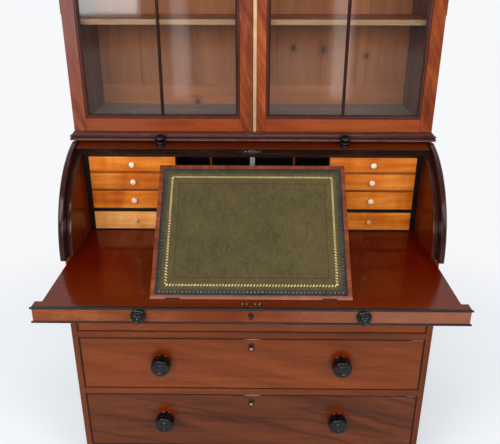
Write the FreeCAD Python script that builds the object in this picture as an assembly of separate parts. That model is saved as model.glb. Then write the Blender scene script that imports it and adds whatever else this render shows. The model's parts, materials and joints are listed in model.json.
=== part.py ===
import FreeCAD, Part
import math
import os

from FreeCAD import Vector

# A cylinder bureau with a glazed bookcase on top, shown open: the curved lid is rolled back, the
# writing slide is drawn out and its leather slope is propped up. Millimetres, +Z up, front to -Y.
# Depth is counted from the bureau's front plane; save() then centres the part over its origin.

# Carcass, from the floor up
CARCASS_WIDTH = 1090.0
SIDE_THICKNESS = 18.0
BACK_THICKNESS = 9.0
FOOT_HEIGHT = 56.0
FOOT_RADIUS = 48.0
FOOT_INSET = 62.0
PLINTH_HEIGHT = 26.0
PLINTH_PROJECTION = 9.0
PLINTH_DEPTH = 40.0
BOTTOM_RAIL_HEIGHT = 22.4
MIDDLE_RAIL_HEIGHT = 20.3
TOP_RAIL_HEIGHT = 9.1
RAIL_DEPTH = 60.0
DUST_BOARD = 12.0
RUNNING_GAP = 0.4
CUT_OVERRUN = 2.0

# Long drawers, top to bottom
LONG_DRAWER_HEIGHTS = (179.0, 190.0, 210.4)
DRAWER_SIDE_GAP = 1.5
DRAWER_TOP_GAP = 2.0
DRAWER_FRONT = 20.0
DRAWER_SIDE = 12.0
DRAWER_BOTTOM = 8.0
DRAWER_BACK_GAP = 22.0
DRAWER_SIDE_DROP = 12.0
BEAD_WIDTH = 3.5
BEAD_PROUD = 2.0
DRAWER_KNOB_SPACING = 553.0
DRAWER_KNOB_RADIUS = 30.0
DRAWER_KNOB_LENGTH = 46.0
DRAWER_KNOB_SHANK = 8.0
DRAWER_KNOB_RISE_SHARE = 0.55
LOCK_WIDTH = 58.0
LOCK_HEIGHT = 40.0
LOCK_DEPTH = 12.0
LOCK_DROP = 6.0
ESCUTCHEON_WIDTH = 13.0
ESCUTCHEON_HEIGHT = 21.0
ESCUTCHEON_PROUD = 1.2
KEYHOLE_RADIUS_SHARE = 1 / 7
KEYHOLE_DROP = 33.0

# Cylinder: cheeks, linings and the rolling lid
CYLINDER_RADIUS = 298.0
CHEEK_SETBACK = 1.4
CHEEK_THICKNESS = 10.0
REED_RADIUS = 5.5
REED_COUNT = 2
LID_INSET = 10.0
LID_THICKNESS = 20.0
LID_SPAN = 82.0
LID_SEAT = 0.5
LID_END_GAP = 0.5
LID_HEAD_GAP = 3.0
LID_BACK_GAP = 14.5
LINING_GAP = 1.5
LINING_THICKNESS = 14.0
LID_RAIL_SPAN = 11.0
LID_KNOB_SPACING = 558.0
LID_KNOB_RADIUS = 16.5
LID_KNOB_LENGTH = 37.0
LID_KNOB_SHANK = 5.0
LID_KNOB_RIM = 1.0
LID_KNOB_HEAD_SHARE = 0.65
LID_KNOB_STOP = 1.5
LINK_PLATE_WIDTH = 58.0
LINK_PLATE_DEPTH = 12.0
LINK_PLATE_THICKNESS = 2.0
STAPLE_WIDTH = 15.0
STAPLE_THICKNESS = 5.0
STAPLE_LENGTH = 15.0

# Bureau top and waist moulding
TOP_BOARD = 18.0
WAIST_PROJECTION = 13.0
WAIST_REED_SHARES = (0.0, 0.08, 0.36, 0.46, 0.63, 0.83, 1.0)
WAIST_STEP_SHARES = (0.86, 1.0, 0.8, 0.96, 0.46, 0.22)

# Writing slide
SLIDE_PULL = 247.6
SLIDE_THICKNESS = 38.0
SLIDE_RAIL_HEIGHT = 46.0
SLIDE_RAIL_DEPTH = 28.0
SLIDE_RAIL_GAP = 0.5
SLIDE_BACK_GAP = 4.0
SLIDE_BEAD_RADIUS = 3.2
SLIDE_BEAD_OVERHANG = 4.0
SLIDE_KNOB_SPACING = 558.0
SLIDE_KNOB_RADIUS = 19.0
SLIDE_KNOB_LENGTH = 30.0
SLIDE_KNOB_SHANK = 6.0
SLIDE_KNOB_RISE_SHARE = 0.59
STRIKE_WIDTH = 60.0
STRIKE_DEPTH = 12.0
STRIKE_THICKNESS = 1.6
STRIKE_CLEARANCE = 2.5
MORTISE_DEPTH = 18.0
SLIDE_LOCK_HEIGHT = 15.0

# Writing slope, its hinges and its prop
SLOPE_WIDTH = 515.6
SLOPE_LENGTH = 386.8
SLOPE_THICKNESS = 13.0
SLOPE_SETBACK = 43.7
SLOPE_TILT = 43.7
SLOPE_GAP = 0.6
SLOPE_BORDER = 11.0
LEATHER_THICKNESS = 2.0
SLOPE_HINGE_INSET = 57.8
SLOPE_HINGE_LENGTH = 36.0
SLOPE_HINGE_RADIUS = 3.0
SLOPE_HINGE_GAP = 0.4
SLOPE_HINGE_LEAF = 1.2
SLOPE_HINGE_LEAF_DROP = 12.0
RECESS_DEPTH = 30.5
PROP_PIVOT_ALONG = 125.0
PROP_THICKNESS = 7.0
PROP_LEG_WIDTH = 16.0
PROP_SPREAD = 150.0
PROP_PIN_RADIUS = 2.5
PROP_PIN_GAP = 0.05
PROP_UNDER_GAP = 0.5
PROP_LUG_WIDTH = 12.0
PROP_LUG_LENGTH = 18.0
PROP_LUG_GAP = 1.0
RACK_WIDTH = 26.0
RACK_REACH = 110.0
RACK_NOTCH_COUNT = 5
RACK_NOTCH_DEPTH_SHARE = 0.6
RACK_TOOTH_SHARE = 1 / 3
FOOT_REST_GAP = 0.3

# Fitted interior
FITMENT_AHEAD = 66.0
FITMENT_DEPTH = 152.0
FITMENT_HEAD_GAP = 1.0
FITMENT_BOARD = 4.0
FITMENT_STILE = 16.0
FITMENT_BACK = 4.0
FITMENT_ROW_SHARES = ((0.7858, 0.9709), (0.5521, 0.7568), (0.2954, 0.5271), (0.0145, 0.2504))
FITMENT_BANK_INNER = 238.0
FITMENT_DIVIDER_AT = 128.0
FITMENT_DIVIDER = 5.0
FITMENT_POST = 15.0
BAY_GAP = 1.6
BAY_BACK_SHARE = 0.32
SMALL_FRONT = 9.0
SMALL_SIDE = 5.0
SMALL_BOTTOM = 3.0
SMALL_GAP = 0.5
BONE_KNOB_AT = 371.5
BONE_KNOB_RADIUS = 9.0
BONE_KNOB_LENGTH = 15.0
BONE_KNOB_SHANK = 3.0

# Bookcase
BOOKCASE_AHEAD = 43.7
BOOKCASE_HEIGHT = 1105.0
BOOKCASE_BOARD = 18.0
BOOKCASE_BOTTOM = 8.0
BOOKCASE_FLOOR = 21.6
SHELF_THICKNESS = 16.0
SHELF_SETBACK = 20.0
SHELF_RISE_SHARES = (0.2943, 0.5279, 0.7614)
BACK_RAIL_HEIGHT = 97.0
BACK_BOARDS = 7
BACK_BOARD_GAP = 0.6
CORNICE_HEIGHT = 78.0
CORNICE_PROJECTION = 44.0
CORNICE_FASCIA_SHARE = 0.3
CORNICE_STEP_SHARE = 0.16
CORNICE_TOP_SHARE = 0.2
CORNICE_FACETS = 6
DOOR_THICKNESS = 22.0
DOOR_BACK_GAP = 1.6
DOOR_GAP = 1.5
DOOR_STILE = 50.0
DOOR_BOTTOM_RAIL = 50.6
DOOR_TOP_RAIL = 54.0
GLAZING_BAR = 9.0
GLASS_THICKNESS = 3.0
ASTRAGAL_WIDTH = 10.5
ASTRAGAL_PROUD = 3.0
DOOR_HINGE_RADIUS = 4.0
DOOR_HINGE_LENGTH = 60.0
DOOR_HINGE_SIDE_GAP = 0.2
DOOR_HINGE_LEAF = 1.2
DOOR_HINGE_LEAF_WIDTH = 24.0
DOOR_HINGE_SHARES = (1 / 3, 2 / 3)
DOOR_LOCK_WIDTH = 32.0
DOOR_LOCK_HEIGHT = 60.0
DOOR_LOCK_DEPTH = 9.0

# Places that follow from the sizes above
HALF_WIDTH = CARCASS_WIDTH / 2
INNER_HALF = HALF_WIDTH - SIDE_THICKNESS
LINING_INNER = HALF_WIDTH - CHEEK_THICKNESS - LINING_THICKNESS
CARCASS_BOTTOM = FOOT_HEIGHT + PLINTH_HEIGHT
DRAWER_OPENINGS = []
level = CARCASS_BOTTOM + BOTTOM_RAIL_HEIGHT
for height in reversed(LONG_DRAWER_HEIGHTS):
    DRAWER_OPENINGS.insert(0, (level, level + height))
    level += height + MIDDLE_RAIL_HEIGHT
TOP_RAIL_BOTTOM = DRAWER_OPENINGS[0][1]
TOP_RAIL_TOP = TOP_RAIL_BOTTOM + TOP_RAIL_HEIGHT
SLIDE_TOP = TOP_RAIL_TOP + SLIDE_RAIL_GAP + SLIDE_RAIL_HEIGHT
SLIDE_BOTTOM = SLIDE_TOP - SLIDE_THICKNESS
RAIL_BOTTOM = SLIDE_TOP - SLIDE_RAIL_HEIGHT
CHEEK_BOTTOM = SLIDE_TOP + RUNNING_GAP
NOTCH_DEPTH = SLIDE_RAIL_DEPTH + SLIDE_RAIL_GAP
AXIS_Y = CYLINDER_RADIUS + CHEEK_SETBACK
AXIS_Z = SLIDE_TOP + LID_SEAT
LID_OUTER = CYLINDER_RADIUS - LID_INSET
LID_INNER = LID_OUTER - LID_THICKNESS
LINING_RADIUS = LID_INNER - LINING_GAP
LID_HALF = HALF_WIDTH - CHEEK_THICKNESS - LID_END_GAP
TOP_UNDERSIDE = AXIS_Z + LID_OUTER + LID_HEAD_GAP
TOP_BOARD_TOP = TOP_UNDERSIDE + TOP_BOARD
WAIST_TOP = TOP_BOARD_TOP + BOOKCASE_BOTTOM

# The lid rolls back until its knobs come close to the waist moulding; its rear edge then sets the depth.
KNOB_HEAD_RADIUS = LID_OUTER + LID_KNOB_LENGTH * LID_KNOB_HEAD_SHARE
LID_KNOB_FROM_EDGE = math.degrees(math.asin((LID_KNOB_RADIUS + LID_KNOB_RIM) / KNOB_HEAD_RADIUS))
KNOB_AHEAD = BOOKCASE_AHEAD + WAIST_PROJECTION + LID_KNOB_STOP + LID_KNOB_RADIUS
LID_OPEN = math.degrees(math.acos(-KNOB_AHEAD / KNOB_HEAD_RADIUS)) + LID_KNOB_FROM_EDGE
LID_REAR = math.radians(LID_OPEN - LID_SPAN)
CARCASS_DEPTH = AXIS_Y + LID_OUTER * math.cos(LID_REAR) + LID_BACK_GAP + BACK_THICKNESS
BACK_INNER = CARCASS_DEPTH - BACK_THICKNESS
BOOKCASE_FRONT = AXIS_Y - BOOKCASE_AHEAD
BOOKCASE_TOP = TOP_BOARD_TOP + BOOKCASE_HEIGHT
CASE_FRONT = BOOKCASE_FRONT + DOOR_THICKNESS + DOOR_BACK_GAP
DOOR_BOTTOM = WAIST_TOP + DOOR_GAP
DOOR_TOP = BOOKCASE_TOP - DOOR_GAP
DOOR_AXIS_X = HALF_WIDTH + DOOR_HINGE_SIDE_GAP + DOOR_HINGE_RADIUS
DOOR_AXIS_Y = CASE_FRONT - DOOR_BACK_GAP / 2

SLIDE_FRONT = -SLIDE_PULL
SLIDE_BOARD_FRONT = SLIDE_FRONT + SLIDE_RAIL_DEPTH
SLIDE_BACK = BACK_INNER - SLIDE_BACK_GAP - SLIDE_PULL
SLOPE_HINGE_Y = SLIDE_FRONT + SLOPE_SETBACK
SLOPE_HINGE_AT = SLOPE_WIDTH / 2 - SLOPE_HINGE_INSET
RECESS_FRONT = SLOPE_HINGE_Y - SLOPE_GAP
RECESS_BACK = SLOPE_HINGE_Y + SLOPE_LENGTH + SLOPE_GAP
RECESS_HALF = SLOPE_WIDTH / 2 + SLOPE_GAP
RECESS_FLOOR = SLIDE_TOP - RECESS_DEPTH
SLIDE_HALF = INNER_HALF - RUNNING_GAP

# The prop turns twice as fast as the slope, and its foot comes lowest in the pose shown.
TILT = math.radians(SLOPE_TILT)
PROP_PIVOT_BELOW = SLOPE_THICKNESS + PROP_UNDER_GAP + PROP_THICKNESS / 2
PROP_LENGTH = PROP_PIVOT_ALONG + PROP_PIVOT_BELOW * math.tan(TILT)
PROP_FOOT_DROP = PROP_PIVOT_BELOW / math.cos(TILT) + PROP_THICKNESS / 2
RACK_TOP = SLIDE_TOP - PROP_FOOT_DROP - FOOT_REST_GAP

FITMENT_SETBACK = AXIS_Y - FITMENT_AHEAD
FITMENT_BOTTOM = CHEEK_BOTTOM
FITMENT_REACH = max(FITMENT_AHEAD, FITMENT_DEPTH - FITMENT_AHEAD)
FITMENT_TOP = AXIS_Z + math.sqrt(LINING_RADIUS**2 - FITMENT_REACH**2) - FITMENT_HEAD_GAP
FITMENT_HEIGHT = FITMENT_TOP - SLIDE_TOP
FITMENT_BACK_Y = FITMENT_SETBACK + FITMENT_DEPTH
BAY_HALF = SLOPE_WIDTH / 2 + BAY_GAP
BANK_OUTER = LINING_INNER - FITMENT_STILE

FRONT_REACH = SLIDE_FRONT - SLIDE_KNOB_LENGTH
Y_SHIFT = -(FRONT_REACH + CARCASS_DEPTH) / 2


def board(x0, x1, y0, y1, z0, z1):
    return Part.makeBox(x1 - x0, y1 - y0, z1 - z0, Vector(x0, y0, z0))


def mirrored(solid):
    return solid.mirror(Vector(0, 0, 0), Vector(1, 0, 0))


def both_sides(solid):
    return [solid, mirrored(solid)]


def rod_x(x0, x1, y, z, radius):
    return Part.makeCylinder(radius, x1 - x0, Vector(x0, y, z), Vector(1, 0, 0))


def extruded_x(edges, x0, x1):
    """A closed outline in the plane X = x0, pushed along X."""
    face = Part.Face(Part.Wire(edges))
    return face.extrude(Vector(x1 - x0, 0, 0))


def outline_x(points, x0):
    corners = [Vector(x0, y, z) for y, z in points]
    return [Part.LineSegment(a, b).toShape() for a, b in zip(corners, corners[1:] + corners[:1])]


def turned(points, base, direction):
    """A turned piece: radius and height pairs about an axis, smooth between them."""
    curve = Part.BSplineCurve()
    curve.interpolate([Vector(r, 0, h) for r, h in points])
    top = points[-1][1]
    bottom = points[0][1]
    edges = [curve.toShape()]
    if points[-1][0] > 0:
        edges.append(Part.LineSegment(Vector(points[-1][0], 0, top), Vector(0, 0, top)).toShape())
    edges.append(Part.LineSegment(Vector(0, 0, top), Vector(0, 0, bottom)).toShape())
    edges.append(Part.LineSegment(Vector(0, 0, bottom), Vector(points[0][0], 0, bottom)).toShape())
    face = Part.Face(Part.Wire(edges))
    solid = face.revolve(Vector(0, 0, 0), Vector(0, 0, 1), 360)
    solid.Placement = FreeCAD.Placement(base, FreeCAD.Rotation(Vector(0, 0, 1), direction))
    return solid


# Turned lines of the knobs: shares of the knob's radius and of its length
PEG_SHARE = 0.4
DRAWER_KNOB_SHARES = ((0.74, 0.0), (0.7, 0.06), (0.6, 0.14), (0.8, 0.22), (0.97, 0.32), (1.0, 0.48),
                      (0.985, 0.7), (0.9, 0.87), (0.62, 0.95), (0.2, 1.0))
SLIDE_KNOB_SHARES = ((0.62, 0.0), (0.56, 0.1), (0.78, 0.22), (0.84, 0.32), (0.6, 0.42), (0.58, 0.5),
                     (0.9, 0.6), (1.0, 0.7), (0.98, 0.85), (0.84, 0.93), (0.5, 0.97), (0.2, 1.0))
LID_KNOB_SHARES = ((0.82, 0.0), (0.74, 0.1), (0.48, 0.2), (0.48, 0.3), (0.66, 0.4), (0.63, 0.47),
                   (0.84, 0.56), (1.0, 0.67), (0.94, 0.81), (0.6, 0.95), (0.2, 1.0))
BONE_KNOB_SHARES = ((0.62, 0.0), (0.5, 0.1), (0.4, 0.25), (0.52, 0.42), (0.92, 0.55), (1.0, 0.68),
                    (0.86, 0.86), (0.45, 0.97), (0.22, 1.0))


def knob(base, direction, radius, length, shank, shares):
    head = turned([(radius * r, length * h) for r, h in shares], base, direction)
    return head.fuse(peg_hole(base, direction, radius, shank))


def peg_hole(base, direction, radius, shank):
    """The bore that a knob's peg fills."""
    inward = direction * -1
    return Part.makeCylinder(radius * PEG_SHARE, shank, base, inward)


def lid_point(radius, angle):
    turn = math.radians(angle)
    return AXIS_Y + radius * math.cos(turn), AXIS_Z + radius * math.sin(turn)


def arc_x(x, radius, start, end):
    """An arc about the lid's axis, in the plane at x, from one angle to another."""
    middle = (start + end) / 2
    ends = [Vector(x, *lid_point(radius, angle)) for angle in (start, middle, end)]
    return Part.Arc(*ends).toShape()


def curved_board(x0, x1, inner, outer, start, end):
    """A bent board between two radii about the lid's axis."""
    corners = [Vector(x0, *lid_point(radius, angle)) for radius, angle in
               ((outer, end), (inner, end), (inner, start), (outer, start))]
    edges = [arc_x(x0, outer, start, end), Part.LineSegment(corners[0], corners[1]).toShape(),
             arc_x(x0, inner, end, start), Part.LineSegment(corners[2], corners[3]).toShape()]
    return extruded_x(edges, x0, x1)


def mitred_frame(profile, half_width, front, back, projection):
    """A moulding round the front and both ends: (outward, height) points, mitred at the corners."""
    reach = projection + CUT_OVERRUN
    low = min(height for outward, height in profile)
    high = max(height for outward, height in profile)
    wide = half_width + reach
    front_run = extruded_x(outline_x([(front - out, z) for out, z in profile], -wide), -wide, wide)
    corners = [Vector(half_width + out, front - reach, z) for out, z in profile]
    side_edges = [Part.LineSegment(a, b).toShape() for a, b in zip(corners, corners[1:] + corners[:1])]
    side_run = Part.Face(Part.Wire(side_edges)).extrude(Vector(0, back - front + reach, 0))
    plan = [(-half_width, front), (half_width, front), (wide, front - reach), (-wide, front - reach)]
    front_plan = Part.Face(Part.makePolygon([Vector(x, y, low) for x, y in plan + plan[:1]]))
    corner_plan = [(half_width, front), (wide, front - reach), (wide, back), (half_width, back)]
    side_plan = Part.Face(Part.makePolygon([Vector(x, y, low) for x, y in corner_plan + corner_plan[:1]]))
    up = Vector(0, 0, high - low)
    front_piece = front_run.common(front_plan.extrude(up))
    side_piece = side_run.common(side_plan.extrude(up))
    return [front_piece] + both_sides(side_piece)


def save(name, solids):
    """Write one sub-part, moved so that the whole part is centred over its origin."""
    shape = Part.makeCompound(solids)
    shape.translate(Vector(0, Y_SHIFT, 0))
    shape.exportStep(f"parts/{name}.step")


FOOT_SHARES = ((0.62, 0.0), (0.82, 0.1), (0.96, 0.25), (1.0, 0.4), (0.88, 0.6), (0.64, 0.74), (0.6, 0.82),
               (0.76, 0.91), (0.8, 1.0))


def bun_feet():
    points = [(FOOT_RADIUS * r, FOOT_HEIGHT * h) for r, h in FOOT_SHARES]
    feet = []
    for y in (FOOT_INSET, CARCASS_DEPTH - FOOT_INSET):
        foot = turned(points, Vector(HALF_WIDTH - FOOT_INSET, y, 0), Vector(0, 0, 1))
        feet += both_sides(foot)
    return feet


def plinth():
    """A moulded frame under the carcass, with a bearer at the back and corner blocks on the feet."""
    step = PLINTH_HEIGHT / 2
    profile = [(-PLINTH_DEPTH, FOOT_HEIGHT), (PLINTH_PROJECTION, FOOT_HEIGHT),
               (PLINTH_PROJECTION, FOOT_HEIGHT + step), (0, CARCASS_BOTTOM),
               (-PLINTH_DEPTH, CARCASS_BOTTOM)]
    inner_front = PLINTH_DEPTH
    inner_half = HALF_WIDTH - PLINTH_DEPTH
    profile = [(out + PLINTH_DEPTH, z) for out, z in profile]
    pieces = mitred_frame(profile, inner_half, inner_front, CARCASS_DEPTH, PLINTH_DEPTH + PLINTH_PROJECTION)
    block = FOOT_INSET + FOOT_RADIUS
    for y0, y1 in ((inner_front, block), (CARCASS_DEPTH - block, CARCASS_DEPTH - PLINTH_DEPTH)):
        pieces += both_sides(board(HALF_WIDTH - block, inner_half, y0, y1, FOOT_HEIGHT, CARCASS_BOTTOM))
    pieces.append(board(-inner_half, inner_half, CARCASS_DEPTH - PLINTH_DEPTH, CARCASS_DEPTH,
                        FOOT_HEIGHT, CARCASS_BOTTOM))
    return pieces


def cheek_turns():
    """The angles at which the cheek's rim starts on the slide and ends under the top."""
    rises = (CHEEK_BOTTOM - AXIS_Z, TOP_UNDERSIDE - AXIS_Z)
    return [math.degrees(math.pi - math.asin(rise / CYLINDER_RADIUS)) for rise in rises]


def right_side():
    """The lower side, the block behind the slide's rail, and the curved cheek."""
    lower = board(INNER_HALF, HALF_WIDTH, 0, BACK_INNER, CARCASS_BOTTOM, TOP_RAIL_TOP)
    middle = board(INNER_HALF, HALF_WIDTH, NOTCH_DEPTH, BACK_INNER, TOP_RAIL_TOP, CHEEK_BOTTOM)
    low_turn, top_turn = cheek_turns()
    x0 = HALF_WIDTH - CHEEK_THICKNESS
    foot_y, foot_z = lid_point(CYLINDER_RADIUS, low_turn)
    head_y, head_z = lid_point(CYLINDER_RADIUS, top_turn)
    corners = [Vector(x0, y, z) for y, z in
               ((head_y, head_z), (BACK_INNER, head_z), (BACK_INNER, foot_z), (foot_y, foot_z))]
    edges = [arc_x(x0, CYLINDER_RADIUS, low_turn, top_turn)]
    edges += [Part.LineSegment(a, b).toShape() for a, b in zip(corners, corners[1:])]
    cheek = extruded_x(edges, x0, HALF_WIDTH)
    return [lower, middle, cheek]


def linings():
    """Half-round plates inside the cheeks; the lid's ends roll round their edges."""
    x0 = LINING_INNER
    x1 = HALF_WIDTH - CHEEK_THICKNESS
    low = math.asin((CHEEK_BOTTOM - AXIS_Z) / LINING_RADIUS)
    front, back = math.degrees(math.pi - low), math.degrees(low)
    ends = [Vector(x0, *lid_point(LINING_RADIUS, angle)) for angle in (front, back)]
    edges = [arc_x(x0, LINING_RADIUS, back, front), Part.LineSegment(*ends).toShape()]
    return both_sides(extruded_x(edges, x0, x1))


def reeds():
    """Reeds along the cheek's rim, on its outer face."""
    low_turn, top_turn = cheek_turns()
    solids = []
    for number in range(REED_COUNT):
        outer = CYLINDER_RADIUS - 2 * REED_RADIUS * number
        middle = Vector(HALF_WIDTH + REED_RADIUS, *lid_point(outer - REED_RADIUS, low_turn))
        edges = (outer, outer - 2 * REED_RADIUS)
        ends = [Vector(HALF_WIDTH, *lid_point(radius, low_turn)) for radius in edges]
        round_edge = Part.Arc(ends[0], middle, ends[1]).toShape()
        face = Part.Face(Part.Wire([round_edge, Part.LineSegment(ends[1], ends[0]).toShape()]))
        reed = face.revolve(Vector(0, AXIS_Y, AXIS_Z), Vector(1, 0, 0), top_turn - low_turn)
        solids += both_sides(reed)
    return solids


def carcass_back():
    return [board(-HALF_WIDTH, HALF_WIDTH, BACK_INNER, CARCASS_DEPTH, CARCASS_BOTTOM, TOP_UNDERSIDE)]


def drawer_rails():
    """Front rails with a dust board behind each; the lowest is the carcass bottom."""
    pieces = []
    for low, high in DRAWER_OPENINGS:
        height = BOTTOM_RAIL_HEIGHT if low == DRAWER_OPENINGS[-1][0] else MIDDLE_RAIL_HEIGHT
        pieces.append(board(-INNER_HALF, INNER_HALF, 0, RAIL_DEPTH, low - height, low))
        pieces.append(board(-INNER_HALF, INNER_HALF, RAIL_DEPTH, BACK_INNER, low - DUST_BOARD, low))
    pieces.append(board(-INNER_HALF, INNER_HALF, 0, NOTCH_DEPTH, TOP_RAIL_BOTTOM, TOP_RAIL_TOP))
    slide_bed = SLIDE_BOTTOM - RUNNING_GAP
    pieces.append(board(-INNER_HALF, INNER_HALF, NOTCH_DEPTH, BACK_INNER, TOP_RAIL_BOTTOM, slide_bed))
    return pieces


def bureau_top():
    return [board(-HALF_WIDTH, HALF_WIDTH, BOOKCASE_FRONT, CARCASS_DEPTH, TOP_UNDERSIDE, TOP_BOARD_TOP)]


def waist_moulding():
    """A reeded moulding round the top board and the bookcase's foot."""
    rise = WAIST_TOP - TOP_UNDERSIDE
    profile = [(0, TOP_UNDERSIDE)]
    for number, step in enumerate(WAIST_STEP_SHARES):
        for share in WAIST_REED_SHARES[number:number + 2]:
            profile.append((WAIST_PROJECTION * step, TOP_UNDERSIDE + rise * share))
    profile.append((0, WAIST_TOP))
    return mitred_frame(profile, HALF_WIDTH, BOOKCASE_FRONT, CARCASS_DEPTH, WAIST_PROJECTION)


def cylinder_lid():
    """The curved lid: a solid bottom rail and the bent panel behind it, tongued together."""
    rail_start = LID_OPEN - LID_RAIL_SPAN
    panel = curved_board(-LID_HALF, LID_HALF, LID_INNER, LID_OUTER, LID_OPEN - LID_SPAN, rail_start)
    rail = curved_board(-LID_HALF, LID_HALF, LID_INNER, LID_OUTER, rail_start, LID_OPEN)
    for base, outward in lid_knob_places():
        rail = rail.cut(peg_hole(base, outward, LID_KNOB_RADIUS, LID_KNOB_SHANK))
    return [panel, rail.cut(link_plate_bed())]


def lid_knob_places():
    angle = LID_OPEN - LID_KNOB_FROM_EDGE
    turn = math.radians(angle)
    outward = Vector(0, math.cos(turn), math.sin(turn))
    y, z = lid_point(LID_OUTER, angle)
    return [(Vector(side * LID_KNOB_SPACING / 2, y, z), outward) for side in (-1, 1)]


def lid_knobs():
    return [knob(base, outward, LID_KNOB_RADIUS, LID_KNOB_LENGTH, LID_KNOB_SHANK, LID_KNOB_SHARES)
            for base, outward in lid_knob_places()]


def on_lid_edge(width, depth, low, high):
    """A block on the middle of the lid's edge, between two heights off that edge."""
    y, z = lid_point((LID_OUTER + LID_INNER) / 2, LID_OPEN)
    block = board(-width / 2, width / 2, y - depth / 2, y + depth / 2, z + low, z + high)
    block.rotate(Vector(0, y, z), Vector(1, 0, 0), LID_OPEN)
    return block


def link_plate_bed():
    return on_lid_edge(LINK_PLATE_WIDTH, LINK_PLATE_DEPTH, -LINK_PLATE_THICKNESS, 0)


def link_plate():
    """The lock's plate, let in flush, with the staple that drops into the slide's mortise."""
    staple = on_lid_edge(STAPLE_WIDTH, STAPLE_THICKNESS, -LINK_PLATE_THICKNESS, STAPLE_LENGTH)
    return [link_plate_bed().fuse(staple)]


def slide_board():
    """The platform round the slope's recess, the recess floor and the two racks for the prop."""
    side = board(RECESS_HALF, SLIDE_HALF, SLIDE_BOARD_FRONT, SLIDE_BACK, SLIDE_BOTTOM, SLIDE_TOP)
    pieces = both_sides(side)
    front = board(-RECESS_HALF, RECESS_HALF, SLIDE_BOARD_FRONT, RECESS_FRONT, SLIDE_BOTTOM, SLIDE_TOP)
    for hinge in slope_hinges():
        front = front.cut(hinge)
    pieces.append(front)
    pieces.append(board(-RECESS_HALF, RECESS_HALF, RECESS_BACK, SLIDE_BACK, SLIDE_BOTTOM, SLIDE_TOP))
    pieces.append(board(-RECESS_HALF, RECESS_HALF, RECESS_FRONT, RECESS_BACK, SLIDE_BOTTOM, RECESS_FLOOR))
    return pieces + both_sides(rack())


def prop_pivot():
    along = PROP_PIVOT_ALONG
    below = PROP_PIVOT_BELOW
    y = SLOPE_HINGE_Y + along * math.cos(TILT) + below * math.sin(TILT)
    z = SLIDE_TOP + along * math.sin(TILT) - below * math.cos(TILT)
    return y, z


def prop_foot():
    y, z = prop_pivot()
    return y + PROP_LENGTH * math.cos(TILT), z - PROP_LENGTH * math.sin(TILT)


def rack():
    """A notched strip on the recess floor, under one end of the prop's foot."""
    foot_y, foot_z = prop_foot()
    middle = PROP_SPREAD / 2
    y0 = foot_y - PROP_THICKNESS
    half = RACK_WIDTH / 2
    strip = board(middle - half, middle + half, y0, y0 + RACK_REACH, RECESS_FLOOR, RACK_TOP)
    depth = (RACK_TOP - RECESS_FLOOR) * RACK_NOTCH_DEPTH_SHARE
    pitch = RACK_REACH / RACK_NOTCH_COUNT
    for number in range(RACK_NOTCH_COUNT):
        y = y0 + pitch * (number + 1 / 2)
        notch = [(y, RACK_TOP - depth), (y + pitch * RACK_TOOTH_SHARE, RACK_TOP), (y, RACK_TOP)]
        x0 = middle - RACK_WIDTH
        strip = strip.cut(extruded_x(outline_x(notch, x0), x0, middle + RACK_WIDTH))
    return strip


def strike_place():
    """Where the closed lid's staple comes down on the drawn-out slide's rail."""
    return AXIS_Y - (LID_OUTER + LID_INNER) / 2 - SLIDE_PULL


def strike_plate():
    y = strike_place()
    plate = board(-STRIKE_WIDTH / 2, STRIKE_WIDTH / 2, y - STRIKE_DEPTH / 2, y + STRIKE_DEPTH / 2,
                  SLIDE_TOP - STRIKE_THICKNESS, SLIDE_TOP)
    return plate


def staple_mortise():
    y = strike_place()
    half_width = STAPLE_WIDTH / 2 + STRIKE_CLEARANCE
    half_depth = STAPLE_THICKNESS / 2 + STRIKE_CLEARANCE
    return board(-half_width, half_width, y - half_depth, y + half_depth,
                 SLIDE_TOP - MORTISE_DEPTH, SLIDE_TOP + CUT_OVERRUN)


def slide_knob_places():
    z = RAIL_BOTTOM + SLIDE_RAIL_HEIGHT * SLIDE_KNOB_RISE_SHARE
    return [(Vector(side * SLIDE_KNOB_SPACING / 2, SLIDE_FRONT, z), Vector(0, -1, 0)) for side in (-1, 1)]


def slide_front():
    """The slide's front rail with a bead along its top and bottom edges."""
    rail = board(-HALF_WIDTH, HALF_WIDTH, SLIDE_FRONT, SLIDE_BOARD_FRONT, RAIL_BOTTOM, SLIDE_TOP)
    rail = rail.cut(staple_mortise()).cut(strike_plate())
    rail = rail.cut(slide_lock_hole())
    for base, outward in slide_knob_places():
        rail = rail.cut(peg_hole(base, outward, SLIDE_KNOB_RADIUS, SLIDE_KNOB_SHANK))
    end = HALF_WIDTH + SLIDE_BEAD_OVERHANG
    beads = []
    for z in (SLIDE_TOP - SLIDE_BEAD_RADIUS, RAIL_BOTTOM + SLIDE_BEAD_RADIUS):
        bead = rod_x(-end, end, SLIDE_FRONT, z, SLIDE_BEAD_RADIUS)
        front_half = board(-end, end, SLIDE_FRONT - SLIDE_BEAD_RADIUS, SLIDE_FRONT,
                           z - SLIDE_BEAD_RADIUS, z + SLIDE_BEAD_RADIUS)
        beads.append(bead.common(front_half))
    return [rail] + beads


def slide_knobs():
    return [knob(base, outward, SLIDE_KNOB_RADIUS, SLIDE_KNOB_LENGTH, SLIDE_KNOB_SHANK, SLIDE_KNOB_SHARES)
            for base, outward in slide_knob_places()]


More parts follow.
